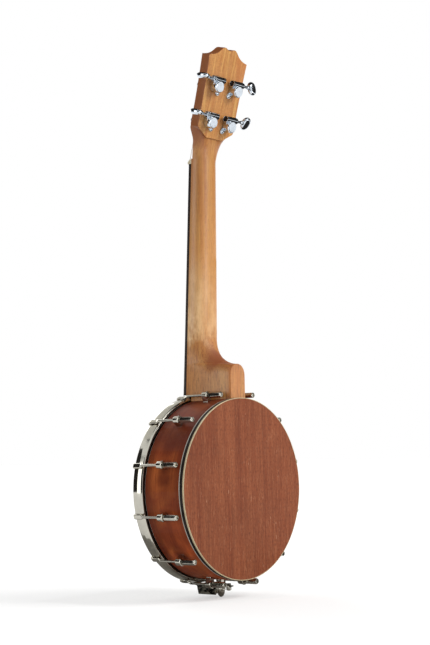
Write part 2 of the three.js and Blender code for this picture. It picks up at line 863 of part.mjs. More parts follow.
function makeHousing(side) {
  const base = seatGap;
  const tubeRadius = wormRadius + runningGap + housingWall;
  const body = turned([
    [0, base],
    [housingRadius, base],
    [housingRadius, housingHeight],
    [housingCapRadius, housingHeight],
    [housingCapRadius, housingHeight + housingCapHeight / 2],
    [housingCapRadius - housingCapHeight / 2, housingHeight + housingCapHeight],
    [0, housingHeight + housingCapHeight],
  ], shaftSides);
  const reach = [-housingInnerReach * side, housingOuterReach * side].sort((a, b) => a - b);
  const wormTube = rodAlongX(tubeRadius, reach[0], reach[1], shaftSides)
    .translate(0, wormHeight, wormOffset);
  const bridgeBlock = block(
    [-housingRadius, base, 0],
    [housingRadius, wormHeight, wormOffset + tubeRadius / 2],
  );
  const tab = rodAlongY(tabRadius, base, base + tabThickness, shaftSides)
    .translate(-tabOffset * side, 0, -tabOffset);
  const tabArm = block([-tabRadius, base, 0], [tabRadius, base + tabThickness, tabOffset * Math.SQRT2])
    .rotateY(halfTurn + quarterTurn / 2 * side);
  const screw = rodAlongY(tabScrewRadius, base, base + tabThickness + tabScrewHeight, hookSides)
    .translate(-tabOffset * side, 0, -tabOffset);
  const gearRoom = rodAlongY(
    gearRadius + runningGap, base - cutOverrun, wormHeight + gearThickness / 2 + runningGap, shaftSides,
  );
  const boreEnds = [(housingWall - housingInnerReach) * side, (housingOuterReach + cutOverrun) * side];
  boreEnds.sort((a, b) => a - b);
  const wormRoom = rodAlongX(wormRadius + runningGap, boreEnds[0], boreEnds[1], shaftSides)
    .translate(0, wormHeight, wormOffset);
  return geometryOf(cutAway(
    joined(body, wormTube, bridgeBlock, tab, tabArm, screw),
    gearRoom,
    wormRoom,
  ));
}

// The knob along x: worm, bearing collar, shaft, ferrule and oval button, turned as
// far as the last tuning left it
function makeKnob(side, turn) {
  const collarEnd = housingOuterReach - seatGap;
  const buttonStart = knobCentre - knobLength / 2;
  const spindle = turned([
    [0, -wormLength / 2],
    [wormRadius, -wormLength / 2],
    [wormRadius, wormLength / 2],
    [knobShaftRadius, wormLength / 2],
    [knobShaftRadius, collarEnd - knobCollarLength],
    [knobCollarRadius, collarEnd - knobCollarLength],
    [knobCollarRadius, collarEnd],
    [knobShaftRadius, collarEnd],
    [knobShaftRadius, buttonStart - knobFerruleLength],
    [knobFerruleRadius, buttonStart - knobFerruleLength],
    [knobFerruleRadius, buttonStart + knobFerruleLength],
    [0, buttonStart + knobFerruleLength],
  ], shaftSides).rotateZ(-quarterTurn);
  const button = new THREE.SphereGeometry(1, buttonSides, buttonRings)
    .scale(knobLength / 2, knobThickness / 2, knobHeight / 2)
    .translate(knobCentre, 0, 0);
  const whole = geometryOf(joined(spindle, button)).rotateX(turn);
  if (side < 0) {
    whole.rotateY(halfTurn);
  }
  return whole.translate(0, wormHeight, wormOffset);
}

tunerPlaces().forEach(({ station, side }, index) => {
  const turn = THREE.MathUtils.degToRad(knobTurnsDegrees[index]);
  const frame = new THREE.Group();
  frame.position.set(side * tunerSideOffset, headThickness, station);
  headFrame.add(frame);
  addPiece(frame, `tuner_housing_${index + 1}`, makeHousing(side), finishes.chrome);
  addPiece(frame, `tuner_knob_${index + 1}`, makeKnob(side, turn), finishes.chrome);
  addPiece(frame, `tuner_post_${index + 1}`, makePost(), finishes.chrome);
  addPiece(frame, `tuner_bushing_${index + 1}`, makeBushing(), finishes.satinNickel);
});

// Coordinator rod, tail bracket, tailpiece and dome nut

const bracketTop = -hoopOuterRadius - hookGap;
const bracketBottom = bracketTop - bracketSheet;
const legTop = bracketBottom - seatGap;
const legBottom = legTop - tailSheet;
const domeNutTop = legBottom - seatGap;
const tailFront = hoopFront - tailFrontGap;

function makeCoordinatorRod() {
  const shoulder = rimInnerRadius - rodShoulderGap;
  return turned([
    [0, domeNutTop - rodTailReach],
    [rodEndRadius, domeNutTop - rodTailReach],
    [rodEndRadius, -shoulder],
    [rodRadius, -shoulder],
    [rodRadius, shoulder],
    [rodEndRadius, shoulder],
    [rodEndRadius, potRadius + rodHeelReach],
    [0, potRadius + rodHeelReach],
  ], shaftSides).rotateX(quarterTurn).translate(0, -rodDepth, 0);
}

addPiece(instrument, 'coordinator_rod', makeCoordinatorRod(), finishes.satinNickel);

function makeDomeNut() {
  const hexBottom = domeNutTop - domeNutHexHeight;
  const hex = rodAlongZ(hexRadius(domeNutAcross), hexBottom, domeNutTop, 6);
  const dome = [[0, hexBottom - domeNutDomeHeight]];
  for (let step = domeSteps - 1; step >= 0; step -= 1) {
    const angle = quarterTurn * step / domeSteps;
    dome.push([
      domeNutDomeRadius * Math.cos(angle),
      hexBottom - domeNutDomeHeight * Math.sin(angle),
    ]);
  }
  dome.push([domeNutDomeRadius, hexBottom + domeNutHexHeight / 2]);
  dome.push([0, hexBottom + domeNutHexHeight / 2]);
  const cap = turned(dome, shaftSides).rotateX(quarterTurn);
  const bore = rodAlongZ(
    rodEndRadius + boltClearance, domeNutTop - rodTailReach - seatGap, domeNutTop + cutOverrun, shaftSides,
  );
  return geometryOf(cutAway(joined(hex, cap), bore)).translate(0, -rodDepth, 0);
}

addPiece(instrument, 'tail_nut', makeDomeNut(), finishes.chrome);

function makeTailBracket() {
  const front = hoopFront + bracketFrontSetback;
  const back = -bracketBackDepth;
  const wallInner = bracketHalfWidth - bracketSheet;
  const web = block(
    [-bracketHalfWidth, front, bracketBottom],
    [bracketHalfWidth, back, bracketTop],
  );
  const wallProfile = [
    [front, bracketTop],
    [back, bracketTop],
    [back, bracketTop - bracketLowHeight],
    [-bracketWallEndDepth, bracketTop - bracketLowHeight],
    [-bracketWallEndDepth, bracketTop - bracketWallHeight],
    [front + bracketWallSlant, bracketTop - bracketWallHeight],
  ].reverse();
  const walls = [1, -1].map((side) => (
    profileAcrossX(wallProfile, bracketSheet).translate(side * (wallInner + bracketSheet / 2), 0, 0)
  ));
  const collar = rodAlongZ(
    bracketCollarRadius, bracketTop - bracketSheet / 2, -potRadius - seatGap, shaftSides,
  ).translate(0, -rodDepth, 0);
  const rodHole = rodAlongZ(
    rodEndRadius + boltClearance, bracketBottom - cutOverrun, -potRadius + cutOverrun, shaftSides,
  ).translate(0, -rodDepth, 0);
  return geometryOf(cutAway(joined(web, ...walls, collar), rodHole));
}

addPiece(instrument, 'tail_bracket', makeTailBracket(), finishes.chrome);

function makeTailpiece() {
  const front = tailFront - tailSheet;
  const plate = plateAlongY([
    [-tailLegHalfWidth, legBottom],
    [tailLegHalfWidth, legBottom],
    [tailShoulderHalfWidth, tailWidenStart],
    [tailEndHalfWidth, tailWidenEnd],
    [tailEndHalfWidth, tailEndHeight],
    [-tailEndHalfWidth, tailEndHeight],
    [-tailEndHalfWidth, tailWidenEnd],
    [-tailShoulderHalfWidth, tailWidenStart],
  ], front, tailFront);
  const leg = block(
    [-tailLegHalfWidth, front, legBottom],
    [tailLegHalfWidth, -tailLegEndDepth, legTop],
  );
  const lip = block(
    [-tailEndHalfWidth, tailFront - tailLipHeight, tailEndHeight - tailSheet],
    [tailEndHalfWidth, tailFront, tailEndHeight],
  );
  const screw = rodAlongZ(
    hexRadius(tailScrewAcross), legBottom - tailScrewHeight, legTop + tailSheet / 2, 6,
  ).translate(0, -tailScrewDepth, 0);
  const rodHole = rodAlongZ(
    rodEndRadius + boltClearance, legBottom - cutOverrun, legTop + cutOverrun, shaftSides,
  ).translate(0, -rodDepth, 0);
  const slots = stringShares.map((share) => block(
    [share * stringSpacingAtTail - tailSlotWidth / 2, front - cutOverrun, tailEndHeight - tailSlotLength],
    [share * stringSpacingAtTail + tailSlotWidth / 2, tailFront + cutOverrun, tailEndHeight + cutOverrun],
  ));
  return geometryOf(cutAway(joined(plate, leg, lip, screw), rodHole, ...slots));
}

addPiece(instrument, 'tailpiece', makeTailpiece(), finishes.chrome);

// Bridge, standing on the drum head

function stringBedAtNut() {
  return nutSlotDepth - nutBlockProud - stringGap - stringRadius;
}

const nutStringPoint = toPart(neckFrame, 0, stringBedAtNut(), boardLength + seatGap);

const bridgeHeightOnHead = nutStringPoint.z - scaleLength;
const bridgeFootFace = skinFront - seatGap;
const bridgeTopFace = bridgeFootFace - bridgeHeight;

function makeBridge() {
  const archEnd = bridgeHalfLength - bridgeFoot;
  const front = new THREE.Shape();
  front.moveTo(-bridgeHalfLength, 0);
  front.lineTo(-archEnd, 0);
  front.quadraticCurveTo(-archEnd, bridgeArchHeight, -archEnd / 2, bridgeArchHeight);
  front.quadraticCurveTo(-bridgeMiddleFoot, bridgeArchHeight, -bridgeMiddleFoot, 0);
  front.lineTo(bridgeMiddleFoot, 0);
  front.quadraticCurveTo(bridgeMiddleFoot, bridgeArchHeight, archEnd / 2, bridgeArchHeight);
  front.quadraticCurveTo(archEnd, bridgeArchHeight, archEnd, 0);
  front.lineTo(bridgeHalfLength, 0);
  front.quadraticCurveTo(bridgeHalfLength, bridgeHeight / 2, bridgeTopHalfLength, bridgeHeight);
  front.lineTo(-bridgeTopHalfLength, bridgeHeight);
  front.quadraticCurveTo(-bridgeHalfLength, bridgeHeight / 2, -bridgeHalfLength, 0);
  const slab = new THREE.ExtrudeGeometry(front, {
    depth: bridgeBaseThickness, bevelEnabled: false, curveSegments: bridgeCurveSteps,
  }).translate(0, 0, -bridgeBaseThickness / 2);
  const wedge = new THREE.ExtrudeGeometry(outlineOf([
    [-bridgeBaseThickness / 2, 0],
    [bridgeBaseThickness / 2, 0],
    [bridgeTopThickness / 2, bridgeHeight],
    [-bridgeTopThickness / 2, bridgeHeight],
  ]), { depth: bridgeHalfLength * 2, bevelEnabled: false })
    .rotateY(quarterTurn)
    .translate(-bridgeHalfLength, 0, 0);
  const slots = stringShares.map((share) => block(
    [share * stringSpacingAtBridge - bridgeSlotWidth / 2, bridgeHeight - bridgeSlotDepth, -bridgeFoot],
    [share * stringSpacingAtBridge + bridgeSlotWidth / 2, bridgeHeight + cutOverrun, bridgeFoot],
  ));
  const body = solid(slab).intersect(solid(wedge));
  return geometryOf(cutAway(body, ...slots))
    .rotateX(halfTurn)
    .translate(0, bridgeFootFace, bridgeHeightOnHead);
}

addPiece(instrument, 'bridge', makeBridge(), finishes.maple);

// Strings: from the tailpiece over the bridge and the nut to their posts, which the
// outer pair reach first. Each one passes its post on the inside and winds on it.

function windingPoints(start, station, side) {
  const radius = postWaistRadius + windingGap + stringRadius;
  const centre = new THREE.Vector2(side * tunerSideOffset, station);
  const line = centre.clone().sub(start);
  const heading = line.angle() + side * Math.asin(radius / line.length());
  const startAngle = heading + side * quarterTurn;
  return Array.from({ length: windingTurns * windingSteps + 1 }, (unused, step) => {
    const angle = startAngle - side * fullTurn * step / windingSteps;
    const height = windingPitch * step / windingSteps - windingStartProud;
    return toPart(
      headFrame,
      centre.x + radius * Math.cos(angle),
      height,
      centre.y + radius * Math.sin(angle),
    );
  });
}

function stringRoute(share) {
  const side = Math.sign(share);
  const station = Math.abs(share) > 1 ? tunerStations[0] : tunerStations[1];
  const nutBack = toPart(
    neckFrame, share * stringSpacingAtNut, stringBedAtNut(), boardLength + seatGap + nutBlockLength,
  );
  const fromHead = headFrame.worldToLocal(nutBack.clone());
  return [
    new THREE.Vector3(
      share * stringSpacingAtTail,
      tailFront - tailSheet / 2,
      tailEndHeight - tailSlotLength + stringEndGap,
    ),
    new THREE.Vector3(
      share * stringSpacingAtBridge,
      bridgeTopFace + bridgeSlotDepth - stringGap - stringRadius,
      bridgeHeightOnHead,
    ),
    toPart(neckFrame, share * stringSpacingAtNut, stringBedAtNut(), boardLength + seatGap),
    nutBack,
    ...windingPoints(new THREE.Vector2(fromHead.x, fromHead.z), station, side),
  ];
}

// The least gap between the tube and itself, from points over half a turn apart
function leastSelfGap(points) {
  let least = Infinity;
  points.forEach((point, index) => {
    points.slice(index + windingSteps / 2).forEach((other) => {
      least = Math.min(least, point.distanceTo(other) - stringRadius * 2);
    });
  });
  return least;
}

stringShares.forEach((share, index) => {
  const route = stringRoute(share);
  const name = `string_${index + 1}`;
  console.log(`${name}: least gap between its turns ${leastSelfGap(route).toFixed(2)} mm`);
  addPiece(instrument, name, tube(route, stringRadius, stringSides), finishes.nylon);
});

instrument.updateMatrixWorld(true);

export default instrument;
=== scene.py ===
import math

import bmesh
import bpy
from mathutils import Matrix, Vector


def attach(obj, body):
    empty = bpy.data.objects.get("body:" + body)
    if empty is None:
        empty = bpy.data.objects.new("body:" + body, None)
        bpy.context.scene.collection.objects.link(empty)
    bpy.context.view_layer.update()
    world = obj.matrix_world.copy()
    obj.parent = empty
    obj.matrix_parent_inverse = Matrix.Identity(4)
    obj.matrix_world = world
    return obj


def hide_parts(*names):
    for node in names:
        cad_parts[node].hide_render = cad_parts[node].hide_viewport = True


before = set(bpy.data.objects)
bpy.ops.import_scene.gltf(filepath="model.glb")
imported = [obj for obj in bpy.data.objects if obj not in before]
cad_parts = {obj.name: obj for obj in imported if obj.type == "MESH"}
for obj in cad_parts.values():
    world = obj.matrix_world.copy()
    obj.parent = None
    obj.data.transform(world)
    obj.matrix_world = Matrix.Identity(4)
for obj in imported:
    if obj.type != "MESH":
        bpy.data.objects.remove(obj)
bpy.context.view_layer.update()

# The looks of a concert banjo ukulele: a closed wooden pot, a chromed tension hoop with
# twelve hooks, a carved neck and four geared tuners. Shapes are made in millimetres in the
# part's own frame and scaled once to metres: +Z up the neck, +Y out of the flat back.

MM = 0.001
QUARTER = math.pi / 2
HALF = math.pi
FULL = math.pi * 2
ROOT = "instrument"

# Facets of round forms, large and small
RING_SIDES = 216
ROD_SIDES = 40

# What keeps two faces from lying in one plane, how far past the part a cutter reaches, and
# the radius of a flat disc's middle facet
SEAT = 0.02
FAR = 300
DISC_MIDDLE = 2

# Pot
POT_RADIUS = 101.6
RIM_INNER = POT_RADIUS - 11
RIM_DEPTH = 66
PLATE = 3.5
BINDING_INNER = POT_RADIUS - 0.8
LEDGE_RADIUS = BINDING_INNER - 0.6
CREAM = 2
BLACK_END = CREAM + 4
PURFLING_END = BLACK_END + 1.0
REBATE_RADIUS = POT_RADIUS - 3.8
REBATE_END = -RIM_DEPTH + 10
BEARING_RADIUS = REBATE_RADIUS - 2.5
BEARING_BEVEL = 3

# Drum head, flesh hoop and tension hoop
SKIN = 0.4
SKIN_FRONT = -RIM_DEPTH - SKIN
SKIRT_OUTER = REBATE_RADIUS + 0.2 + SKIN
SKIRT_END = SKIN_FRONT + 7
SKIN_ROUND = 2.6
SKIN_FLAT = 50
SKIN_TURN = SKIRT_OUTER - 6
FLESH_INNER = SKIRT_OUTER + 0.1
FLESH_OUTER = FLESH_INNER + 2.9
FLESH_FRONT = SKIN_FRONT + 3.5
FLESH_BACK = FLESH_FRONT + 3.5
HOOP_INNER = POT_RADIUS + 0.9
HOOP_OUTER = HOOP_INNER + 3.6
HOOP_FRONT = SKIN_FRONT - 4
HOOP_BACK = HOOP_FRONT + 12
HOOP_RIDGE = HOOP_FRONT + 6.2
HOOP_SLOPE = 0.8
HOOP_BEAD = 2.4
HOOP_LIP = SKIRT_OUTER + 0.5
HOOP_LIP_FRONT = SKIN_FRONT - 1.2
HOOP_LIP_BACK = FLESH_FRONT - 0.3

# Tension hooks, their long nuts and shoes
HOOK_COUNT = 12
HOOK_AXIS = POT_RADIUS + 7.2
HOOK_RADIUS = 1.5
CLAW_HALF_WIDTH = 2.8
CLAW_HALF_THICKNESS = 1.1
CLAW_POWER = 3.2
CLAW_TIP_POWER = 2.8
CLAW_TIP = HOOP_OUTER - 3
CLAW_FRONT = HOOP_FRONT - 0.4 - CLAW_HALF_THICKNESS
CLAW_BEND = 2.4
NUT_ACROSS = 6
NUT_END = -6.7
NUT_START = NUT_END - 18
NUT_BORE = 1.9
NUT_BORE_DEPTH = 1.4
NUT_TURNS_DEGREES = (14, 24, 5, 18, 10, 27, 8, 21, 3, 16, 25, 12)
SHOE_BACK = NUT_START - 0.3
SHOE_FLANGE = 2.2
SHOE_FRONT = SHOE_BACK - SHOE_FLANGE - 6.2
SHOE_HALF_WIDTH = 4.2
SHOE_FOOT_HALF_WIDTH = 3.2
SHOE_FOOT_FLARE = 0.3
SHOE_FOOT_RISE = 0.9
SHOE_FLANGE_RADIUS = 4.8
SHOE_BOLT_RADIUS = 2
SHOE_BOLT_HEAD = 7
SHOE_BOLT_HEAD_INNER = RIM_INNER - 0.3

# Neck
NECK_TILT = math.radians(2.2)
BOARD_FRONT = RIM_DEPTH + 2.8
BOARD_END = HOOP_OUTER + 0.5
BOARD_LENGTH = 268
BOARD = 4
BOARD_HALF_AT_POT = 22
BOARD_HALF_AT_NUT = 17.5
NECK_DEPTH_AT_NUT = 14.7
NECK_DEPTH_AT_HEEL = 18.1
HEEL_BACK = 6
HEEL_TOP = 142.6 - BOARD_END
HEEL_HALF_WIDTH = 12.4
HEEL_CURVE = 36
NECK_FLAT = 0.5
NECK_POWER = 2.3
HEEL_SIDE_POWER = 1.5
HEEL_BACK_POWER = 1.25

# Headstock
HEAD_ANGLE = math.radians(13.1)
HEAD_BREAK = BOARD_LENGTH - 4
HEAD_PROUD = 0.6
HEAD_FACE_START = 10
HEAD = 12
HEAD_EDGE = 0.7
HEAD_FOOT = (14, 36.5)
HEAD_CHAMFER = (19.2, 39.6)
HEAD_SHOULDER = (30.6, 46.4)
HEAD_SIDE = (31.6, 50)
HEAD_WAIST = (30.6, 82)
HEAD_CORNER = (33.3, 130)
CROWN_FOOT = (21.5, 131.4)
CROWN_EDGE = (15.6, 137.4)
CROWN_HUMP = (11.2, 141.9)
CROWN_PEAK_HALF = 8.6
CROWN_DIP = 139.7
THROAT_START = BOARD_LENGTH + 4
THROAT_END = BOARD_LENGTH + 40
THROAT_HALF = 30.6
THROAT_FLARE_SHARES = (0, 0.1, 0.206, 0.305, 0.435, 0.725, 1)
THROAT_POWER = 6.5

# Frets, nut and position dots
SCALE = 380
FRET_COUNT = 18
FRET_HEIGHT = 0.8
FRET_HALF_WIDTH = 1.1
FRET_INSET = 1.2
DOT_RADIUS = 2.4
DOT_SPREAD = 8.5
DOT_FRETS = (5, 7, 10, 12, 15)
DOUBLE_DOT = 12
NUT_BLOCK = 5
NUT_PROUD = 1.8
NUT_SLOT_DEPTH = 0.9
NUT_SLOT_HALF = 0.55
STRING_SPACING_AT_NUT = 9
NUT_LINE = BOARD_LENGTH + 0.3

# Tuners
TUNER_SIDE = 16.7
TUNER_STATIONS = (54.4, 54.4 + 41.4)
POST_RADIUS = 3
POST_PROUD = 11.5
POST_CAP_RADIUS = 3.5
POST_WAIST_RADIUS = 2.5
POST_WAIST_TOP = 8.6
POST_WAIST_BOTTOM = 3
WORM_OFFSET = 7.9
WORM_HEIGHT = 5.3
WORM_TUBE_RADIUS = 4
WORM_INNER_REACH = 9.6
WORM_OUTER_REACH = 9.8
WORM_RADIUS = 2.5
WORM_HALF = 4.5
FERRULE_RADIUS = 2.5
WORM_HOLLOW_RADIUS = 3.2
WORM_FLOOR = -WORM_INNER_REACH + 2.4
WORM_END_RADIUS = 3.05
TUBE_NECK = WORM_TUBE_RADIUS - 0.35
TUBE_BORE = 2.8
GEAR_TEETH = 14
GEAR_RADIUS = 5.1
GEAR = 3.6
HOUSING_RADIUS = 7
HOUSING_HEIGHT = 9.4
CAP_RADIUS = 6.4
CAP_HEIGHT = 1
TAB_OFFSET = 7
TAB_RADIUS = 2.9
TAB = 1.6
TAB_SCREW_RADIUS = 2.1
TAB_SCREW_HEIGHT = 1.2
TAB_SCREW_TURN = 0.5
KNOB_SHAFT_RADIUS = 1.6
KNOB_COLLAR_RADIUS = 2.6
KNOB_CENTRE = 26.5
KNOB_LENGTH = 12.8
KNOB_HEIGHT = 16.4
KNOB_THICKNESS = 7.4
KNOB_TURNS_DEGREES = (88, 26, 94, -22)
BUSHING_RADIUS = 4.6
BUSHING_FLANGE_RADIUS = 5.6

# Coordinator rod, tail bracket, tailpiece and dome nut
ROD_DEPTH = 37
ROD_RADIUS = 4
ROD_END_RADIUS = 3
BRACKET_TOP = -HOOP_OUTER - 0.4
BRACKET_FRONT = HOOP_FRONT + 3.4
BRACKET_BACK = -28.5
BRACKET_WALL_END = -38.6
BRACKET_HALF_WIDTH = 7.6
BRACKET_SHEET = 1.5
BRACKET_COLLAR_RADIUS = 5.4
BRACKET_WALL = 12.4
BRACKET_WALL_SLANT = 2.6
BRACKET_LOW = 3.2
TAIL_SHEET = 1.5
LEG_TOP = BRACKET_TOP - BRACKET_SHEET - 0.3
LEG_BOTTOM = LEG_TOP - TAIL_SHEET
LEG_END = -22
TAIL_LEG_HALF = 5.4
TAIL_SHOULDER_HALF = 9
TAIL_HALF = 17
TAIL_END = -62
TAIL_WIDEN_START = -96
TAIL_WIDEN_END = -80
TAIL_FRONT = HOOP_FRONT - 0.8 - TAIL_SHEET
TAIL_BEND = 3
TAIL_POWER = 9
TAIL_SLOT_HALF = 0.9
TAIL_SCREW_DEPTH = 25.4
TAIL_SCREW_ACROSS = 5.2
STRING_SPACING_AT_TAIL = 8.4
DOME_NUT_TOP = LEG_BOTTOM - 0.3
DOME_NUT_ACROSS = 9
DOME_NUT_HEX = 4.4
DOME_HEIGHT = 7
DOME_RADIUS = 4.3

# Bridge and strings
BRIDGE_HEIGHT = 11.5
BRIDGE_HALF = 31
BRIDGE_TOP_HALF = 24.5
BRIDGE_BASE = 6.4
BRIDGE_TOP = 2.2
BRIDGE_FOOT = 7
BRIDGE_ARCH = 6.4
BRIDGE_MIDDLE_FOOT = 3.4
BRIDGE_SLOT_DEPTH = 0.6
BRIDGE_SLOT_HALF = 0.55
BRIDGE_FOOT_FACE = SKIN_FRONT - 0.3
STRING_SPACING_AT_BRIDGE = 12.6
STRING_SHARES = (1.5, 0.5, -0.5, -1.5)
STRING_RADIUS = 0.35
STRING_GAP = 0.2
STRING_BED = NUT_SLOT_DEPTH - NUT_PROUD - STRING_GAP - STRING_RADIUS
KNOT_RADIUS = 1.1
KNOT_HALF = 0.9
WINDING_GAP = 0.4
WINDING_PITCH = 1.25
WINDING_TURNS = 2.5
WINDING_STEPS = 32
WINDING_START = 7.6

# Frames: the neck's, from the board's end at the pot, and the headstock's, from where
# its face leaves the plane under the board
NECK = Matrix.Translation((0, -BOARD_FRONT, BOARD_END)) @ Matrix.Rotation(-NECK_TILT, 4, "X")
HEADSTOCK = (
    NECK
    @ Matrix.Translation((0, BOARD - HEAD_PROUD, HEAD_BREAK))
    @ Matrix.Rotation(-HEAD_ANGLE, 4, "X")
)
NECK_IN_METRES = Matrix.Translation(NECK.translation * MM) @ NECK.to_3x3().to_4x4()
BRIDGE_PLACE = (NECK @ Vector((0, STRING_BED, NUT_LINE))).z - SCALE


# Forms

class Form:
    """Vertices in millimetres and faces, added together from closed forms."""

    def __init__(self, vertices, faces):
        self.vertices = [Vector(vertex) for vertex in vertices]
        self.faces = [tuple(face) for face in faces]

    def __add__(self, other):
        start = len(self.vertices)
        moved = [tuple(index + start for index in face) for face in other.faces]
        return Form(self.vertices + other.vertices, self.faces + moved)

    def moved(self, matrix):
        return Form([matrix @ vertex for vertex in self.vertices], self.faces)


def lerp(low, high, share):
    return low + (high - low) * share


def clamp(value, low=0.0, high=1.0):
    return max(low, min(high, value))


def ease(share):
    return share * share * (3 - 2 * share)


def arc(steps, end=QUARTER):
    """Angles from nought to end, both of them included."""
    return [end * step / steps for step in range(steps + 1)]


def circle(sides):
    return arc(sides, FULL)[:-1]


def softened(value, power):
    """A sine or cosine raised to a power, with its sign kept."""
    return math.copysign(abs(value) ** power, value)


def rectangle(left, right, low, high):
    return [(left, low), (right, low), (right, high), (left, high)]


def loft(rings, looped=False):
    """A skin over rings of equally many points, closed at both ends or on itself."""
    count = len(rings[0])
    faces = []
    for ring in range(len(rings) if looped else len(rings) - 1):
        low = ring * count
        high = (ring + 1) % len(rings) * count
        for side in range(count):
            after = (side + 1) % count
            faces.append((low + side, low + after, high + after, high + side))
    vertices = [vertex for ring in rings for vertex in ring]
    if not looped:
        faces.append(range(count))
        faces.append(range(len(vertices) - count, len(vertices)))
    return Form(vertices, faces)


def rounded(points, radius, steps=4, closed=True):
    """An outline whose corners are turned into short curves."""
    corners = [Vector(point) for point in points]
    made = []
    for index, here in enumerate(corners):
        if not closed and index in (0, len(corners) - 1):
            made.append(here)
            continue
        before = corners[index - 1] - here
        after = corners[(index + 1) % len(corners)] - here
        reach = min(radius, before.length * 0.45, after.length * 0.45)
        start = here + before.normalized() * reach
        end = here + after.normalized() * reach
        for step in range(steps + 1):
            share = step / steps
            made.append(start * (1 - share) ** 2 + here * 2 * share * (1 - share) + end * share**2)
    return made


def inset(outline, distance):
    """An outline drawn in by a distance, corner by corner."""
    points = [Vector(point) for point in outline]
    area = sum(a.x * b.y - b.x * a.y for a, b in zip(points, points[1:] + points[:1]))
    turn = 1 if area > 0 else -1
    made = []
    for index, here in enumerate(points):
        into = (here - points[index - 1]).normalized()
        out = (points[(index + 1) % len(points)] - here).normalized()
        first = Vector((-into.y, into.x)) * turn
        second = Vector((-out.y, out.x)) * turn
        made.append(here + (first + second) * (distance / max(1 + first.dot(second), 0.4)))
    return made


def edge_levels(start, end, edge, steps=3):
    """Levels from start to end with how far a rounded edge draws each one in."""
    drawn = [(edge * (1 - math.cos(angle)), edge * (1 - math.sin(angle))) for angle in arc(steps)]
    return [(start + level, by) for level, by in drawn] + [(end - level, by) for level, by in reversed(drawn)]


def plate(outline, start, end, edge):
    """A plate along Y: an outline of x and z, with rounded edges."""
    rings = []
    for level, drawn in edge_levels(start, end, edge):
        rings.append([(point.x, level, point.y) for point in inset(outline, drawn)])
    return loft(rings)


def turned(profile, sides=ROD_SIDES, looped=False):
    """A form turned about Y from points of radius and height, closed at both ends."""
    around = [(math.sin(angle), math.cos(angle)) for angle in circle(sides)]
    return loft([[(radius * x, height, radius * z) for x, z in around] for radius, height in profile], looped)


def ringed(profile, sides=RING_SIDES):
    """A ring turned about Y from a closed outline of radius and height."""
    return turned(profile, sides, True)


def band(inner, outer, front, back, edge, steps=4):
    """A ring whose section is a rectangle with rounded corners."""
    return ringed(rounded(rectangle(inner, outer, front, back), edge, steps))


def hexagonal(profile, across, sides=72):
    """A turned form whose sides a hexagon of that width across its flats cuts off."""
    sixth = FULL / 6
    around = []
    for angle in circle(sides):
        flat = across / 2 / math.cos((angle + sixth / 2) % sixth - sixth / 2)
        around.append((flat, math.sin(angle), math.cos(angle)))
    return loft([
        [(min(radius, flat) * x, height, min(radius, flat) * z) for flat, x, z in around]
        for radius, height in profile
    ])


def rod(radius, start, end, edge=0.3, sides=ROD_SIDES):
    """A rod along Y with rounded ends."""
    return turned([(radius - drawn, level) for level, drawn in edge_levels(start, end, edge)], sides)


def box(low, high, edge=0):
    """A block with rounded edges, or with sharp ones where edge is nought."""
    outline = rectangle(low[0], high[0], low[2], high[2])
    if edge:
        return plate(rounded(outline, edge * 2, 3), low[1], high[1], edge)
    return loft([[(x, y, z) for x, z in outline] for y in (low[1], high[1])])


def swept(path, sections, sides=ROD_SIDES):
    """A rod through points. A section is its half width, half thickness and squareness."""
    points = [Vector(point) for point in path]
    last = len(points) - 1
    across = Vector((1, 0, 0))
    rings = []
    for index, point in enumerate(points):
        along = (points[min(index + 1, last)] - points[max(index - 1, 0)]).normalized()
        across = (across - along * across.dot(along)).normalized()
        up = along.cross(across)
        half_width, half_thickness, power = sections[index]
        ring = []
        for angle in circle(sides):
            wide = softened(math.cos(angle), 2 / power)
            thick = softened(math.sin(angle), 2 / power)
            ring.append(point + across * half_width * wide + up * half_thickness * thick)
        rings.append(ring)
    return loft(rings)


def bent(stations, sides):
    """A rod bent across X. A station is its y and z, and then its section as above."""
    path = [(0, *station[:2]) for station in stations]
    return swept(path, [station[2:] for station in stations], sides)


def along_x(form):
    return form.moved(Matrix.Rotation(-QUARTER, 4, "Z"))


def along_z(form):
    return form.moved(Matrix.Rotation(QUARTER, 4, "X"))


def at(x, y, z):
    return Matrix.Translation((x, y, z))


# Objects from forms

def added(name, data):
    """A new object in the scene."""
    made = bpy.data.objects.new(name, data)
    bpy.context.scene.collection.objects.link(made)
    return made


def raw_object(name, form):
    mesh = bpy.data.meshes.new(name)
    mesh.from_pydata([vertex * MM for vertex in form.vertices], [], form.faces)
    made = bmesh.new()
    made.from_mesh(mesh)
    bmesh.ops.recalc_face_normals(made, faces=made.faces)
    made.to_mesh(mesh)
    made.free()
    return added(name, mesh)


def combine(piece, operation, *forms):
    """Adds forms to a piece or cuts them from it, one after the other."""
    for form in forms:
        tool = raw_object("tool", form)
        modifier = piece.modifiers.new("combine", "BOOLEAN")
        modifier.operation = operation
        modifier.solver = "EXACT"
        modifier.object = tool
        graph = bpy.context.evaluated_depsgraph_get()
        mesh = bpy.data.meshes.new_from_object(piece.evaluated_get(graph))
        piece.modifiers.clear()
        piece.data = mesh
        bpy.data.objects.remove(tool)


def taken(piece):
    """The form of an object that was only made for a boolean. The object goes."""
    mesh = piece.data
    form = Form([vertex.co / MM for vertex in mesh.vertices], [face.vertices[:] for face in mesh.polygons])
    bpy.data.objects.remove(piece)
    return form


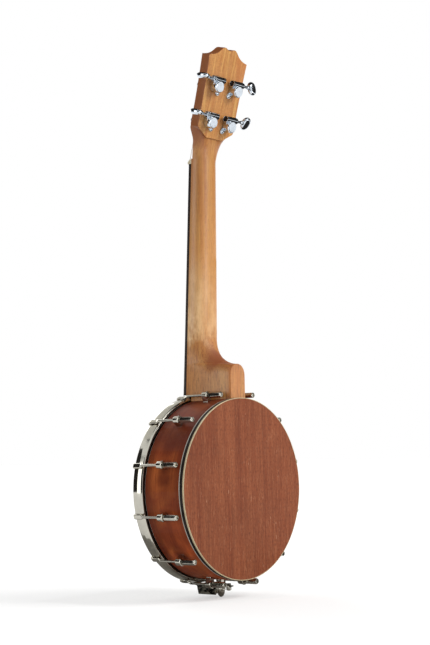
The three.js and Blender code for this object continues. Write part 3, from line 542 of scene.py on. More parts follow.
def dress(piece, finish, *replaced, body=ROOT, crease=32):
    """Smooths a piece up to its creases, paints it and sets it on its body."""
    mesh = piece.data
    mesh.polygons.foreach_set("use_smooth", [True] * len(mesh.polygons))
    mesh.set_sharp_from_angle(angle=math.radians(crease))
    flats = piece.modifiers.new("flats", "WEIGHTED_NORMAL")
    flats.keep_sharp = True
    flats.weight = 70
    mesh.materials.clear()
    mesh.materials.append(MATERIALS[finish])
    if replaced:
        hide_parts(*replaced)
    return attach(piece, body)


def make(name, form, finish, *replaced, body=ROOT):
    return dress(raw_object(name, form), finish, *replaced, body=body)


# Materials

def colour(red, green, blue):
    """A screen colour from 0 to 255, as the linear light that Blender mixes."""
    def linear(value):
        share = value / 255
        return share / 12.92 if share <= 0.04045 else ((share + 0.055) / 1.055) ** 2.4
    return (linear(red), linear(green), linear(blue), 1.0)


def shaded(tint, share):
    return (*(value * share for value in tint[:3]), 1.0)


class Paint:
    """A material's nodes, built by short calls. Lengths are in metres, and noises stay near a half."""

    def __init__(self, name, **sockets):
        self.name = name
        self.material = bpy.data.materials.new(name)
        self.material.use_nodes = True
        self.tree = self.material.node_tree
        self.shader = self.tree.nodes["Principled BSDF"]
        for socket, value in sockets.items():
            self.set(socket.replace("_", " "), value)

    def set(self, socket, value):
        target = self.shader.inputs[socket]
        if isinstance(value, bpy.types.NodeSocket):
            self.tree.links.new(value, target)
        else:
            target.default_value = value

    def node(self, kind, inputs, output=0, **settings):
        made = self.tree.nodes.new("ShaderNode" + kind)
        for setting, value in settings.items():
            setattr(made, setting, value)
        for key, value in inputs.items():
            if isinstance(value, bpy.types.NodeSocket):
                self.tree.links.new(value, made.inputs[key])
            else:
                made.inputs[key].default_value = value
        return made.outputs[output]

    def here(self, kind="Object"):
        """The piece's own coordinates, or its normal."""
        return self.node("TexCoord", {}, kind)

    def axis(self, name, kind="Object"):
        return self.node("SeparateXYZ", {0: self.here(kind)}, name)

    def noise(self, scale, detail=3, roughness=0.5, distortion=0, shift=(0, 0, 0)):
        """Clouds, at so many to the metre along each axis."""
        place = self.node("Mapping", {"Vector": self.here(), "Scale": scale, "Location": shift})
        return self.node("TexNoise", {
            "Vector": place, "Scale": 1, "Detail": detail, "Roughness": roughness, "Distortion": distortion,
        }, "Fac")

    def ramp(self, value, low, high, start=0.0, end=1.0):
        """A value eased from start, where it is at or under low, to end at high."""
        return self.node("MapRange", {
            "Value": value, "From Min": low, "From Max": high, "To Min": start, "To Max": end,
        }, interpolation_type="SMOOTHSTEP")

    def math(self, operation, first, second):
        return self.node("Math", {0: first, 1: second}, operation=operation)

    def times(self, first, *others):
        for other in others:
            first = self.math("MULTIPLY", first, other)
        return first

    def mix(self, share, first, second):
        return self.node("Mix", {"Factor": share, 6: first, 7: second}, 2, data_type="RGBA")

    def stain(self, tone, stain, value, low, high, share=1.0):
        """A tone that goes over to a stain by a share as a value rises from low to high."""
        return self.mix(self.ramp(value, low, high, 0.0, share), tone, stain)

    def bump(self, height, strength, depth):
        return self.node("Bump", {"Height": height, "Strength": strength, "Distance": depth * MM})


def wood(name, pale, mid, dark, along, roughness, gloss=0.22, figure=1.0, pores=1.0, flecks=0.0,
         shift=0.0, curl=0.0, stains=None):
    """Wood whose grain runs along an axis: broad bands first, fine fibres and pores last."""
    paint = Paint(name, Roughness=roughness, Specular_IOR_Level=gloss)
    pale, mid, dark = (colour(*tint) for tint in (pale, mid, dark))

    def grain(across, down, detail, fineness, distortion=0, x=0, z=0):
        scale = tuple(lerp(across, down, share) for share in along)
        return paint.noise(scale, detail, fineness, distortion, (shift + x, shift, shift + z))

    fibre = grain(2600, 60, 2, 0.5)
    hollow = paint.ramp(grain(3000, 190, 2, 0.4), 0.60, 0.68, 0.0, 0.75 * pores)
    tone = paint.stain(mid, pale, grain(85, 3.5, 4, 0.55, 0.6), 0.34, 0.66, figure)
    tone = paint.stain(tone, dark, grain(260, 7, 3, 0.6, 0.3), 0.5, 0.72, 0.55 * figure)
    tone = paint.stain(tone, dark, grain(900, 16, 3, 0.6), 0.46, 0.7, 0.5)
    tone = paint.stain(tone, pale, fibre, 0.3, 0.7, 0.22)
    tone = paint.stain(tone, dark, grain(22, 9, 2, 0.5, 0.3), 0.42, 0.66, 0.25 * figure)
    tone = paint.mix(hollow, tone, shaded(dark, 0.42))
    if curl:
        tone = paint.stain(tone, pale, grain(60, 260, 2, 0.5, 0.8, 9), 0.4, 0.66, curl)
    if flecks:
        bright = paint.ramp(grain(1300, 130, 1, 0.4, 0, 3, 5), 0.68, 0.74)
        rare = paint.ramp(grain(60, 40, 1, 0.5, 0, 7), 0.54, 0.66)
        tone = paint.mix(paint.times(bright, rare, flecks), tone, colour(206, 160, 128))
        tone = paint.stain(tone, colour(186, 128, 94), grain(1000, 60, 3, 0.6, 0, 2, 8), 0.52, 0.72, 0.45)
        tone = paint.stain(tone, dark, grain(420, 300, 2, 0.5, 0, 4, 2), 0.46, 0.7, 0.35)
    if stains:
        for share, stain in stains(paint):
            tone = paint.mix(share, tone, colour(*stain))
    paint.set("Base Color", tone)
    relief = paint.math("SUBTRACT", paint.times(fibre, 0.4), hollow)
    paint.set("Normal", paint.bump(relief, 0.35 * pores + 0.05, 0.12))
    return paint


def near(paint, place, reach):
    """A patch round a place, one within it and nought outside, with a clouded edge."""
    gap = paint.node("VectorMath", {0: paint.here(), 1: place}, "Value", operation="DISTANCE")
    gap = paint.math("ADD", gap, paint.times(paint.noise((60, 60, 25)), reach))
    return paint.ramp(gap, reach, reach * 2, 1.0, 0.0)


def neck_wear_and_flank_light(paint):
    """Where the hand has worn the neck pale above the heel, stronger on the flank that faces +X as painted
    light.
    """
    cloud = paint.noise((90, 90, 45), 3, 0.6)
    height = paint.math("ADD", paint.axis("Z"), paint.times(cloud, 0.06))
    return paint.times(
        paint.ramp(height, 0.19, 0.215),
        paint.ramp(height, 0.245, 0.31, 1.0, 0.1),
        # painted light: the flank that faces +X gets more of the pale patch
        paint.ramp(paint.axis("X", "Normal"), 0.3, 0.9, 0.5, 1.0),
        paint.ramp(cloud, 0.35, 0.65, 0.4, 0.95),
    )


def painted_shade_on_head_edges_and_throat(paint, height):
    """The headstock's edges darker, partly as their end grain and partly as painted shade, and painted shade
    in the throat under it.
    """
    back = tuple(HEADSTOCK.to_3x3() @ Vector((0, 1, 0)))
    facing = paint.node("VectorMath", {0: paint.here("Normal"), 1: back}, "Value", operation="DOT_PRODUCT")
    edges = paint.times(
        paint.ramp(paint.math("ABSOLUTE", facing, 0.0), 0.93, 0.985, 1.0, 0.0),
        paint.ramp(height, 0.375, 0.41, 0.0, 0.95),
    )
    throat = paint.times(
        paint.ramp(height, 0.26, 0.37, 0.0, 0.3),
        paint.ramp(height, 0.401, 0.404, 1.0, 0.0),
        paint.ramp(facing, -0.3, 0.1),
    )
    return paint.math("MAXIMUM", edges, throat)


def neck_stains(paint):
    """Shares and colours of all that lies over the neck's grain, painted shade and light among them, and a
    dull place on its curve.
    """
    height = paint.axis("Z")
    streaks = paint.ramp(height, 0.3, 0.4, 0.45, 1.0)
    dark_streak = paint.noise((250, 50, 5), 3, 0.65, 0.2, (3, 7, 1))
    light_streak = paint.noise((290, 60, 6), 3, 0.65, 0.2, (6, 1, 9))
    tide = paint.noise((44, 44, 6), 2, 0.5, 0.4, (8, 2, 6))
    dashes = paint.ramp(paint.noise((1250, 1250, 75), 3, 0.6, 0, (5, 10, 4)), 0.54, 0.66)
    # painted light: the heel's back face, which looks along +Y, a little paler
    heel_back_painted_light = paint.ramp(paint.axis("Y", "Normal"), 0.8, 0.97)
    paint.set("Roughness", paint.ramp(near(paint, *CURVE_DULL), 0.05, 0.6, 0.3, 0.62))
    return (
        (paint.ramp(tide, 0.48, 0.66, 0.0, 0.38), (192, 106, 54)),
        (paint.times(paint.ramp(dark_streak, 0.46, 0.62, 0.0, 0.55), streaks), (176, 104, 48)),
        (paint.times(paint.ramp(light_streak, 0.5, 0.64, 0.0, 0.5), streaks), (228, 178, 100)),
        # worn pale, with painted light on the flank that faces +X
        (neck_wear_and_flank_light(paint), (250, 208, 154)),
        (paint.times(dashes, paint.ramp(height, 0.15, 0.2, 0.8, 0.2)), (126, 70, 36)),
        (paint.times(heel_back_painted_light, paint.ramp(height, 0.138, 0.15, 0.08, 0.0)), (240, 204, 158)),
        # painted shade on the headstock's edges and in its throat
        (painted_shade_on_head_edges_and_throat(paint, height), (152, 88, 48)),
        # painted shade in the concave heel curve
        (paint.times(near(paint, *CURVE_PAINTED_SHADE), 0.9), (138, 68, 32)),
    )


def metal(name, tint, roughness, spread=0.05, scale=90):
    """Polished plating with faint smudges and hairlines."""
    paint = Paint(name, Metallic=1.0)
    tint = colour(*tint)
    smudge = paint.noise((scale, scale, scale), 4, 0.6)
    hairline = paint.noise((scale * 3, scale * 40, scale * 9), 2)
    paint.set("Base Color", paint.stain(tint, shaded(tint, 0.8), smudge, 0.45, 0.75, 0.6))
    paint.set("Roughness", paint.ramp(smudge, 0.35, 0.7, roughness, roughness + spread))
    paint.set("Normal", paint.bump(hairline, 0.04, 0.02))
    return paint


def plastic(name, tint, shade, roughness, coat=0.0, scale=400, strength=0.05, gloss=0.5):
    """Moulded or polished stock with a slow change of tone and a fine surface."""
    paint = Paint(name, Roughness=roughness, Specular_IOR_Level=gloss, Coat_Weight=coat, Coat_Roughness=0.1)
    cloud = paint.noise((scale / 8, scale / 8, scale / 8))
    fine = paint.noise((scale * 4, scale * 4, scale * 4), 3, 0.6)
    paint.set("Base Color", paint.stain(colour(*tint), colour(*shade), cloud, 0.3, 0.7))
    paint.set("Normal", paint.bump(fine, strength, 0.05))
    return paint


def rim_varnish():
    """Bent wood under a thick clear coat, with dark blotches, and painted shade by the hoop, round the shoes
    and towards the top.
    """
    paint = Paint("rim_wood", Roughness=0.45, Specular_IOR_Level=0.05, Coat_Weight=0.07, Coat_Roughness=0.05)
    pale, dark = colour(226, 124, 64), colour(92, 36, 22)
    across, depth, up = (paint.axis(name) for name in "XYZ")
    tone = paint.stain(colour(202, 99, 53), pale, paint.noise((24, 30, 24), 3, 0.55, 0.8), 0.42, 0.64)
    tone = paint.stain(tone, dark, paint.noise((9, 16, 9), 2, 0.5, 0.3, (2, 4, 1)), 0.48, 0.64, 0.7)
    for blotch in RIM_BLOTCHES:
        tone = paint.mix(paint.times(near(paint, *blotch), 0.6), tone, dark)
    # painted shade next to the hoop, and the rim darker towards the binding
    front = paint.ramp(depth, -0.055, -0.036, 0.8, 0.0)
    back = paint.ramp(depth, -0.019, -0.007, 0.0, 0.5)
    tone = paint.mix(paint.math("MAXIMUM", front, back), tone, dark)
    # darker round each shoe: painted shade and reflection of the shoe, and partly stain
    round_pot = paint.times(paint.math("ARCTAN2", across, up), HOOK_COUNT)
    beside_shoe = paint.ramp(paint.math("COSINE", round_pot, 0.0), -1.0, -0.45, 0.6, 0.0)
    from_shoe = paint.math("ABSOLUTE", paint.math("SUBTRACT", depth, (SHOE_FRONT + SHOE_BACK) / 2 * MM), 0.0)
    tone = paint.mix(paint.times(beside_shoe, paint.ramp(from_shoe, 0.003, 0.013, 1.0, 0.0)), tone, dark)
    tone = paint.stain(tone, dark, paint.noise((10, 420, 10), 4, 0.6, 0.2), 0.5, 0.74, 0.5)
    tone = paint.stain(tone, dark, paint.noise((26, 1500, 26), 3, 0.6), 0.45, 0.7, 0.35)
    # painted shade: the rim darker towards the top, under the neck
    tone = paint.stain(tone, dark, up, 0.02, 0.075, 0.8)
    hollow = paint.ramp(paint.noise((170, 2400, 170), 2, 0.4), 0.62, 0.7, 0.0, 0.5)
    paint.set("Base Color", paint.mix(hollow, tone, colour(52, 20, 14)))
    paint.set("Normal", paint.bump(hollow, 0.08, -0.05))
    return paint


# Places in metres with how far each patch reaches
# the first is painted shade in the heel curve
CURVE_PAINTED_SHADE = ((0.008, -0.022, 0.155), 0.022)
CURVE_DULL = ((0.008, -0.026, 0.164), 0.028)
RIM_BLOTCHES = (
    ((0.101, -0.030, 0.014), 0.009),
    ((0.086, -0.03, 0.058), 0.016),
    ((0.078, -0.03, -0.066), 0.012),
    ((0.05, -0.03, -0.087), 0.02),
)
GRAIN_UP = (0, 0, 1)
GRAIN_ACROSS = (1, 0, 0)
MATERIALS = {paint.name: paint.material for paint in (
    wood(
        "mahogany_back", (156, 90, 58), (132, 67, 41), (94, 45, 29),
        GRAIN_UP, 0.52, 0.14, figure=0.8, flecks=0.9,
    ),
    rim_varnish(),
    wood(
        "neck_wood", (212, 152, 84), (196, 130, 66), (152, 88, 44),
        GRAIN_UP, 0.3, 0.5, figure=0.9, pores=0.7, shift=4.0, curl=0.25, stains=neck_stains,
    ),
    wood(
        "fingerboard_wood", (52, 40, 34), (34, 26, 23), (18, 14, 13),
        GRAIN_UP, 0.5, figure=0.6, pores=0.6, shift=9.0,
    ),
    wood(
        "maple", (226, 190, 136), (210, 170, 116), (176, 132, 84),
        GRAIN_ACROSS, 0.5, figure=0.6, pores=0.3, shift=12.0,
    ),
    metal("chrome", (192, 189, 178), 0.07),
    metal("tuner_chrome", (214, 222, 230), 0.06, 0.05, 220),
    metal("nickel", (186, 186, 182), 0.2, 0.08, 300),
    # nickel darkened as painted shade for the flesh hoop down in its gap
    metal("nickel_painted_dark", (74, 70, 64), 0.4, 0.1, 300),
    # near black, painted shade for the tuner tubes' hollow ends
    plastic("black_painted_shade", (20, 16, 15), (44, 34, 28), 0.5, gloss=0.3),
    plastic("cream_binding", (214, 196, 158), (200, 180, 142), 0.4, 0.2),
    plastic("black_binding", (26, 22, 20), (38, 32, 28), 0.4, gloss=0.12),
    plastic("white_purfling", (206, 202, 192), (186, 180, 168), 0.4),
    plastic("drum_skin", (238, 234, 222), (229, 223, 208), 0.6, 0.0, 900, 0.25),
    plastic("bone", (230, 218, 188), (216, 202, 168), 0.35, 0.1),
    plastic("pearl", (232, 232, 228), (196, 206, 208), 0.2, 0.5, 1600),
    plastic("nylon", (236, 234, 226), (226, 222, 212), 0.28, 0.0, 2000),
)}


# Pot

def make_pot():
    make("rim_shell", ringed(rounded([
        (REBATE_RADIUS, -RIM_DEPTH), (REBATE_RADIUS, REBATE_END),
        (POT_RADIUS, REBATE_END), (POT_RADIUS, -PURFLING_END),
        (LEDGE_RADIUS, -PURFLING_END), (LEDGE_RADIUS, -PLATE),
        (RIM_INNER, -PLATE), (RIM_INNER, -RIM_DEPTH + BEARING_BEVEL),
        (BEARING_RADIUS, -RIM_DEPTH),
    ], 0.4)), "rim_wood", "rim")
    purfling = band(LEDGE_RADIUS, POT_RADIUS, -PURFLING_END, -BLACK_END, 0.08, 2)
    make("rim_purfling", purfling, "white_purfling")
    black = band(LEDGE_RADIUS, POT_RADIUS, -BLACK_END, -CREAM, 0.1, 2)
    make("edge_binding_black", black, "black_binding", "binding_black")
    cream = band(BINDING_INNER, POT_RADIUS, -CREAM, 0, 0.5)
    make("edge_binding_cream", cream, "cream_binding", "binding_cream")
    board = rounded(rectangle(DISC_MIDDLE, BINDING_INNER, -PLATE, 0), 0.12, 2)[3:-3]
    make("back_board", turned(board, RING_SIDES), "mahogany_back", "back_plate")


def make_head_and_hoop():
    outer = rounded([
        (SKIN_TURN, SKIN_FRONT), (SKIRT_OUTER, SKIN_FRONT), (SKIRT_OUTER, SKIRT_END),
    ], SKIN_ROUND, 8, closed=False)
    inside = SKIN_FRONT + SKIN
    inner = rounded([
        (SKIRT_OUTER - SKIN, SKIRT_END), (SKIRT_OUTER - SKIN, inside), (SKIN_TURN, inside),
    ], SKIN_ROUND - SKIN, 8, closed=False)
    skin = [(DISC_MIDDLE, SKIN_FRONT), (SKIN_FLAT, SKIN_FRONT), *outer, *inner, (DISC_MIDDLE, inside)]
    make("drum_skin", turned(skin, RING_SIDES), "drum_skin", "drum_head")
    flesh_ring = band(FLESH_INNER, FLESH_OUTER, FLESH_FRONT, FLESH_BACK, 0.7)
    # dark as painted shade in the gap behind the tension hoop
    make("flesh_ring", flesh_ring, "nickel_painted_dark", "flesh_hoop")
    make("tension_band", ringed(rounded([
        (HOOP_OUTER - 0.2, HOOP_FRONT), (HOOP_OUTER, HOOP_FRONT + 1.2), (HOOP_OUTER, HOOP_RIDGE),
        (HOOP_OUTER - HOOP_SLOPE, HOOP_BACK - HOOP_BEAD / 2), (HOOP_OUTER - HOOP_BEAD, HOOP_BACK),
        (HOOP_INNER, HOOP_BACK), (HOOP_INNER, HOOP_LIP_BACK), (HOOP_LIP, HOOP_LIP_BACK),
        (HOOP_LIP, HOOP_LIP_FRONT), (HOOP_INNER, HOOP_FRONT),
    ], 0.45)), "chrome", "tension_hoop")


# Hooks and shoes, made over the top of the pot and turned to their places

def hook_form():
    """A rod whose front end is flattened, bent over the hoop and drawn in as a claw."""
    strip = HOOP_OUTER + 0.5 + CLAW_HALF_THICKNESS
    flat_start = HOOP_BACK + 1.6
    flat_end = HOOP_BACK - 2.4
    thread = HOOK_RADIUS - 0.1
    stations = [
        (NUT_END - 0.9, HOOK_AXIS, HOOK_RADIUS - 0.35, HOOK_RADIUS - 0.35, 2),
        (NUT_END - 1.1, HOOK_AXIS, thread, thread, 2),
        (flat_start, HOOK_AXIS, thread, thread, 2),
    ]
    for step in range(1, 13):
        share = ease(step / 12)
        stations.append((
            lerp(flat_start, flat_end, step / 12),
            lerp(HOOK_AXIS, strip, share),
            lerp(HOOK_RADIUS, CLAW_HALF_WIDTH, share),
            lerp(HOOK_RADIUS, CLAW_HALF_THICKNESS, share),
            lerp(2, CLAW_POWER, share),
        ))
    for angle in arc(12):
        y = CLAW_FRONT + CLAW_BEND * (1 - math.sin(angle))
        z = strip - CLAW_BEND * (1 - math.cos(angle))
        stations.append((y, z, CLAW_HALF_WIDTH, CLAW_HALF_THICKNESS, CLAW_POWER))
    for depth, share in ((1.6, 1), (0.7, 0.97), (0.25, 0.82), (0, 0.45)):
        width, thickness = CLAW_HALF_WIDTH * share, CLAW_HALF_THICKNESS * share
        stations.append((CLAW_FRONT, CLAW_TIP + depth, width, thickness, CLAW_TIP_POWER))
    return bent(stations, 32)


def long_nut_form(turn):
    flat = NUT_ACROSS / 2
    corner = flat / math.cos(FULL / 12)
    floor = NUT_END - NUT_BORE_DEPTH
    return hexagonal([
        (1, NUT_START), (flat - 0.3, NUT_START), (flat - 0.05, NUT_START + 0.15), (corner, NUT_START + 0.75),
        (corner, NUT_END - 1.2), (flat, NUT_END - 0.5), (flat - 0.25, NUT_END - 0.15), (flat - 0.6, NUT_END),
        (NUT_BORE + 0.15, NUT_END), (NUT_BORE, NUT_END - 0.15), (NUT_BORE, floor), (0.4, floor),
    ], NUT_ACROSS).moved(at(0, 0, HOOK_AXIS) @ Matrix.Rotation(turn, 4, "Y"))


def shoe_form():
    foot = POT_RADIUS - 0.1
    leg = foot + SHOE_FOOT_RISE
    flare = SHOE_FOOT_HALF_WIDTH + SHOE_FOOT_FLARE
    outline = [(flare, foot), (SHOE_FOOT_HALF_WIDTH, leg)]
    for angle in arc(16, HALF):
        outline.append((SHOE_HALF_WIDTH * math.cos(angle), HOOK_AXIS + SHOE_HALF_WIDTH * math.sin(angle)))
    outline += [(-SHOE_FOOT_HALF_WIDTH, leg), (-flare, foot)]
    body = plate(outline, SHOE_FRONT, SHOE_BACK - SHOE_FLANGE / 2, 0.9)
    front = SHOE_BACK - SHOE_FLANGE
    flange = turned([
        (SHOE_FLANGE_RADIUS - 1.1, front - 0.8), (SHOE_FLANGE_RADIUS - 0.9, front - 0.1),
        (SHOE_FLANGE_RADIUS - 0.3, front), (SHOE_FLANGE_RADIUS, front + 0.4),
        (SHOE_FLANGE_RADIUS, SHOE_BACK - 0.6), (SHOE_FLANGE_RADIUS - 0.25, SHOE_BACK - 0.2),
        (SHOE_FLANGE_RADIUS - 0.7, SHOE_BACK),
    ]).moved(at(0, 0, HOOK_AXIS))
    bolt = along_z(rod(SHOE_BOLT_RADIUS, -POT_RADIUS - 2, -SHOE_BOLT_HEAD_INNER + 1))
    bolt = bolt.moved(Matrix.Rotation(HALF, 4, "Y"))
    head = along_z(hexagonal([(3.2, 0), (4.3, 0.5), (4.3, 2.5), (3.2, 3)], SHOE_BOLT_HEAD))
    bolt += head.moved(at(0, 0, SHOE_BOLT_HEAD_INNER - 3))
    return body + flange + bolt.moved(at(0, (SHOE_FRONT + front) / 2, 0))


def make_hooks():
    for index, nut_turn in enumerate(NUT_TURNS_DEGREES):
        number = f"{index + 1:02d}"
        turn = Matrix.Rotation(FULL * (index + 0.5) / HOOK_COUNT, 4, "Y")
        hook = hook_form() + long_nut_form(math.radians(nut_turn))
        make(f"hook_and_nut_{number}", hook.moved(turn), "chrome", f"tension_hook_{number}")
        make(f"shoe_{number}", shoe_form().moved(turn), "chrome", f"hook_shoe_{number}")


# Neck with its heel and headstock

def board_half(station):
    return lerp(BOARD_HALF_AT_POT, BOARD_HALF_AT_NUT, clamp(station / BOARD_LENGTH))


def neck_slice(station, half, depth, side_power, back_power, back_half=NECK_FLAT, steps=22):
    """One slice: flat under the board, full at the sides, back_half wide where deepest."""
    side = []
    for step, angle in enumerate(arc(steps)):
        out = 0 if step == steps else math.cos(angle) ** (2 / side_power)
        down = math.sin(angle) ** (2 / back_power)
        side.append((back_half + (half - back_half) * out, BOARD + depth * down))
    return [(x, y, station) for x, y in side] + [(-x, y, station) for x, y in reversed(side)]


def heel_slice(station, side_power, back_power, back_half=NECK_FLAT):
    deepest = BOARD_FRONT - HEEL_BACK - BOARD - station * math.tan(NECK_TILT)
    along = clamp((station - HEEL_TOP) / HEEL_CURVE)
    depth = lerp(deepest, NECK_DEPTH_AT_HEEL, math.sqrt(1 - (1 - along) ** 2))
    return neck_slice(station, board_half(station), depth, side_power, back_power, back_half)


def neck_form():
    arch_foot = HEEL_TOP - HEEL_HALF_WIDTH
    stations = [-10, arch_foot * 0.5, arch_foot]
    stations += [arch_foot + HEEL_HALF_WIDTH * math.sin(angle) for angle in arc(18)[1:]]
    slices = []
    for station in stations:
        rise = clamp((station - arch_foot) / HEEL_HALF_WIDTH)
        back_half = max(HEEL_HALF_WIDTH * math.sqrt(1 - rise**2), NECK_FLAT)
        slices.append(heel_slice(station, HEEL_SIDE_POWER, HEEL_BACK_POWER, back_half))
    for step in range(1, 31):
        along = (step / 30) ** 2
        powers = (lerp(power, NECK_POWER, along) for power in (HEEL_SIDE_POWER, HEEL_BACK_POWER))
        slices.append(heel_slice(HEEL_TOP + HEEL_CURVE * along, *powers))
    for step in range(1, 13):
        station = lerp(HEEL_TOP + HEEL_CURVE, THROAT_START, step / 12)
        depth = lerp(NECK_DEPTH_AT_HEEL, NECK_DEPTH_AT_NUT, step / 12)
        slices.append(neck_slice(station, board_half(station), depth, NECK_POWER, NECK_POWER))
    return loft(slices)


def along_shares(shares, place):
    """A smooth curve through evenly spaced shares, at a place from 0 to 1."""
    last = len(shares) - 1
    index = min(int(place * last), last - 1)
    part = place * last - index
    before, here, there, after = (
        shares[clamp(index + step, 0, last)] for step in (-1, 0, 1, 2)
    )
    return here + 0.5 * part * (
        there - before
        + part * (2 * before - 5 * here + 4 * there - after + part * (3 * (here - there) + after - before))
    )


def throat_form():
    back_face = HEAD / math.cos(HEAD_ANGLE) - HEAD_PROUD
    end_depth = (THROAT_END - HEAD_BREAK) * math.tan(HEAD_ANGLE) + back_face - 0.3
    slices = []
    for step in range(37):
        share = step / 36
        station = lerp(THROAT_START - 0.01, THROAT_END, share)
        half = lerp(BOARD_HALF_AT_NUT, THROAT_HALF, clamp(along_shares(THROAT_FLARE_SHARES, share)))
        depth = lerp(NECK_DEPTH_AT_NUT, end_depth, share**2)
        power = lerp(NECK_POWER, THROAT_POWER, share**3)
        slices.append(neck_slice(station, half, depth, power, power))
    slices.append(neck_slice(THROAT_END + 2.6, THROAT_HALF, end_depth, THROAT_POWER, THROAT_POWER))
    return loft(slices)


def curve(points, steps):
    """Points along a Bezier curve, the first one left out."""
    made = []
    for step in range(1, steps + 1):
        share = step / steps
        level = [Vector(point) for point in points]
        while len(level) > 1:
            level = [a.lerp(b, share) for a, b in zip(level, level[1:])]
        made.append(level[0])
    return made


def mirrored(half, joined=False):
    """An outline from its half with x from nought up. Joined halves share their last point."""
    other = half[:-1] if joined else half
    return half + [Vector((-point.x, point.y)) for point in reversed(other)]


def headstock_outline():
    peak = (CROWN_PEAK_HALF, CROWN_HUMP[1])
    middle = CROWN_PEAK_HALF / 2
    foot = rounded([HEAD_FOOT, HEAD_CHAMFER, HEAD_SHOULDER, HEAD_SIDE], 0.8, 3, closed=False)
    return mirrored([
        *foot,
        *curve([HEAD_SIDE, HEAD_WAIST, HEAD_CORNER], 16),
        *curve([HEAD_CORNER, CROWN_FOOT, CROWN_EDGE], 14),
        *curve([CROWN_EDGE, CROWN_HUMP, peak], 12),
        *curve([peak, (middle, CROWN_HUMP[1]), (middle, CROWN_DIP), (0, CROWN_DIP)], 12),
    ], joined=True)


def make_neck():
    into_neck = NECK.inverted()
    head_in_neck = into_neck @ HEADSTOCK
    throat = raw_object("throat_work", throat_form())
    over_head = box((-60, -100, HEAD_FACE_START), (60, SEAT, BOARD_LENGTH * 2))
    combine(throat, "DIFFERENCE", over_head.moved(head_in_neck))
    neck = raw_object("neck_and_heel", neck_form())
    headstock = plate(headstock_outline(), 0, HEAD, HEAD_EDGE).moved(head_in_neck)
    combine(neck, "UNION", taken(throat), headstock)
    pot = turned([(POT_RADIUS + 0.05, -FAR), (POT_RADIUS + 0.05, FAR)], RING_SIDES)
    hoop = turned([(BOARD_END, -FAR), (BOARD_END, HOOP_BACK + 0.5)], RING_SIDES)
    hole = turned([(BUSHING_RADIUS, -20), (BUSHING_RADIUS, 20)])
    places = [at(side * TUNER_SIDE, 0, station) for station in TUNER_STATIONS for side in (1, -1)]
    holes = [hole.moved(head_in_neck @ place) for place in places]
    combine(neck, "DIFFERENCE", pot.moved(into_neck), hoop.moved(into_neck), *holes)
    neck.data.transform(NECK_IN_METRES)
    dress(neck, "neck_wood", "neck", crease=24)


# Fingerboard, frets and nut

def fret_distance(fret):
    return SCALE * (1 - 2 ** (-fret / 12))


def fret_form(station):
    half = board_half(station) - FRET_INSET
    ends = ((half, 0.35), (half - 0.5, 0.8), (half - 1, 1))
    rings = []
    for x, share in [(-x, share) for x, share in ends] + list(reversed(ends)):
        ring = [(x, 0.6, station + FRET_HALF_WIDTH), (x, 0.6, station - FRET_HALF_WIDTH)]
        for angle in arc(12, HALF):
            crown = -FRET_HEIGHT * share * math.sin(angle) ** 0.8
            ring.append((x, crown, station - FRET_HALF_WIDTH * math.cos(angle)))
        rings.append(ring)
    return loft(rings)


def make_fingerboard():
    outline = [
        (-BOARD_HALF_AT_POT, 0), (BOARD_HALF_AT_POT, 0),
        (BOARD_HALF_AT_NUT, BOARD_LENGTH), (-BOARD_HALF_AT_NUT, BOARD_LENGTH),
    ]
    board = plate(outline, 0, BOARD - SEAT, 0.35)
    make("fingerboard_ebony", board.moved(NECK), "fingerboard_wood", "fingerboard")
    wires = Form([], [])
    for fret in range(1, FRET_COUNT + 1):
        wires += fret_form(BOARD_LENGTH - fret_distance(fret))
    make("fret_wires", wires.moved(NECK), "nickel")
    dots = Form([], [])
    for fret in DOT_FRETS:
        station = BOARD_LENGTH - (fret_distance(fret) + fret_distance(fret - 1)) / 2
        for side in ((-1, 1) if fret == DOUBLE_DOT else (0,)):
            dots += rod(DOT_RADIUS, -0.05, 0.6, 0.04).moved(at(side * DOT_SPREAD, 0, station))
    make("position_dots", dots.moved(NECK), "pearl")


def make_nut():
    start = BOARD_LENGTH + 0.05
    end = start + NUT_BLOCK + 0.25
    half = BOARD_HALF_AT_NUT
    foot = BOARD - SEAT

    def section(x, drop=0, drawn=0):
        top = -NUT_PROUD + drop
        return [(x, y, z) for y, z in (
            (foot, start + drawn), (foot, end - drawn), (0.3 + drawn, end - drawn),
            (max(top + 0.9, 0.2), lerp(start, end, 0.8)), (top + drawn, lerp(start, end, 0.45)),
            (top + drawn, start + 0.25 + drawn), (top + 0.3 + drawn, start + drawn),
        )]

    sections = [section(-half, 0, 0.3), section(-half + 0.3)]
    for share in reversed(STRING_SHARES):
        middle = share * STRING_SPACING_AT_NUT
        for step, drop in ((-1.0, 0), (-0.7, 0.75), (0, 1), (0.7, 0.75), (1.0, 0)):
            sections.append(section(middle + step * NUT_SLOT_HALF, drop * NUT_SLOT_DEPTH))
    sections += [section(half - 0.3), section(half, 0, 0.3)]
    make("string_nut", loft(sections).moved(NECK), "bone", "nut")


# Tuners: the post along y from the headstock's back face, x out to the button

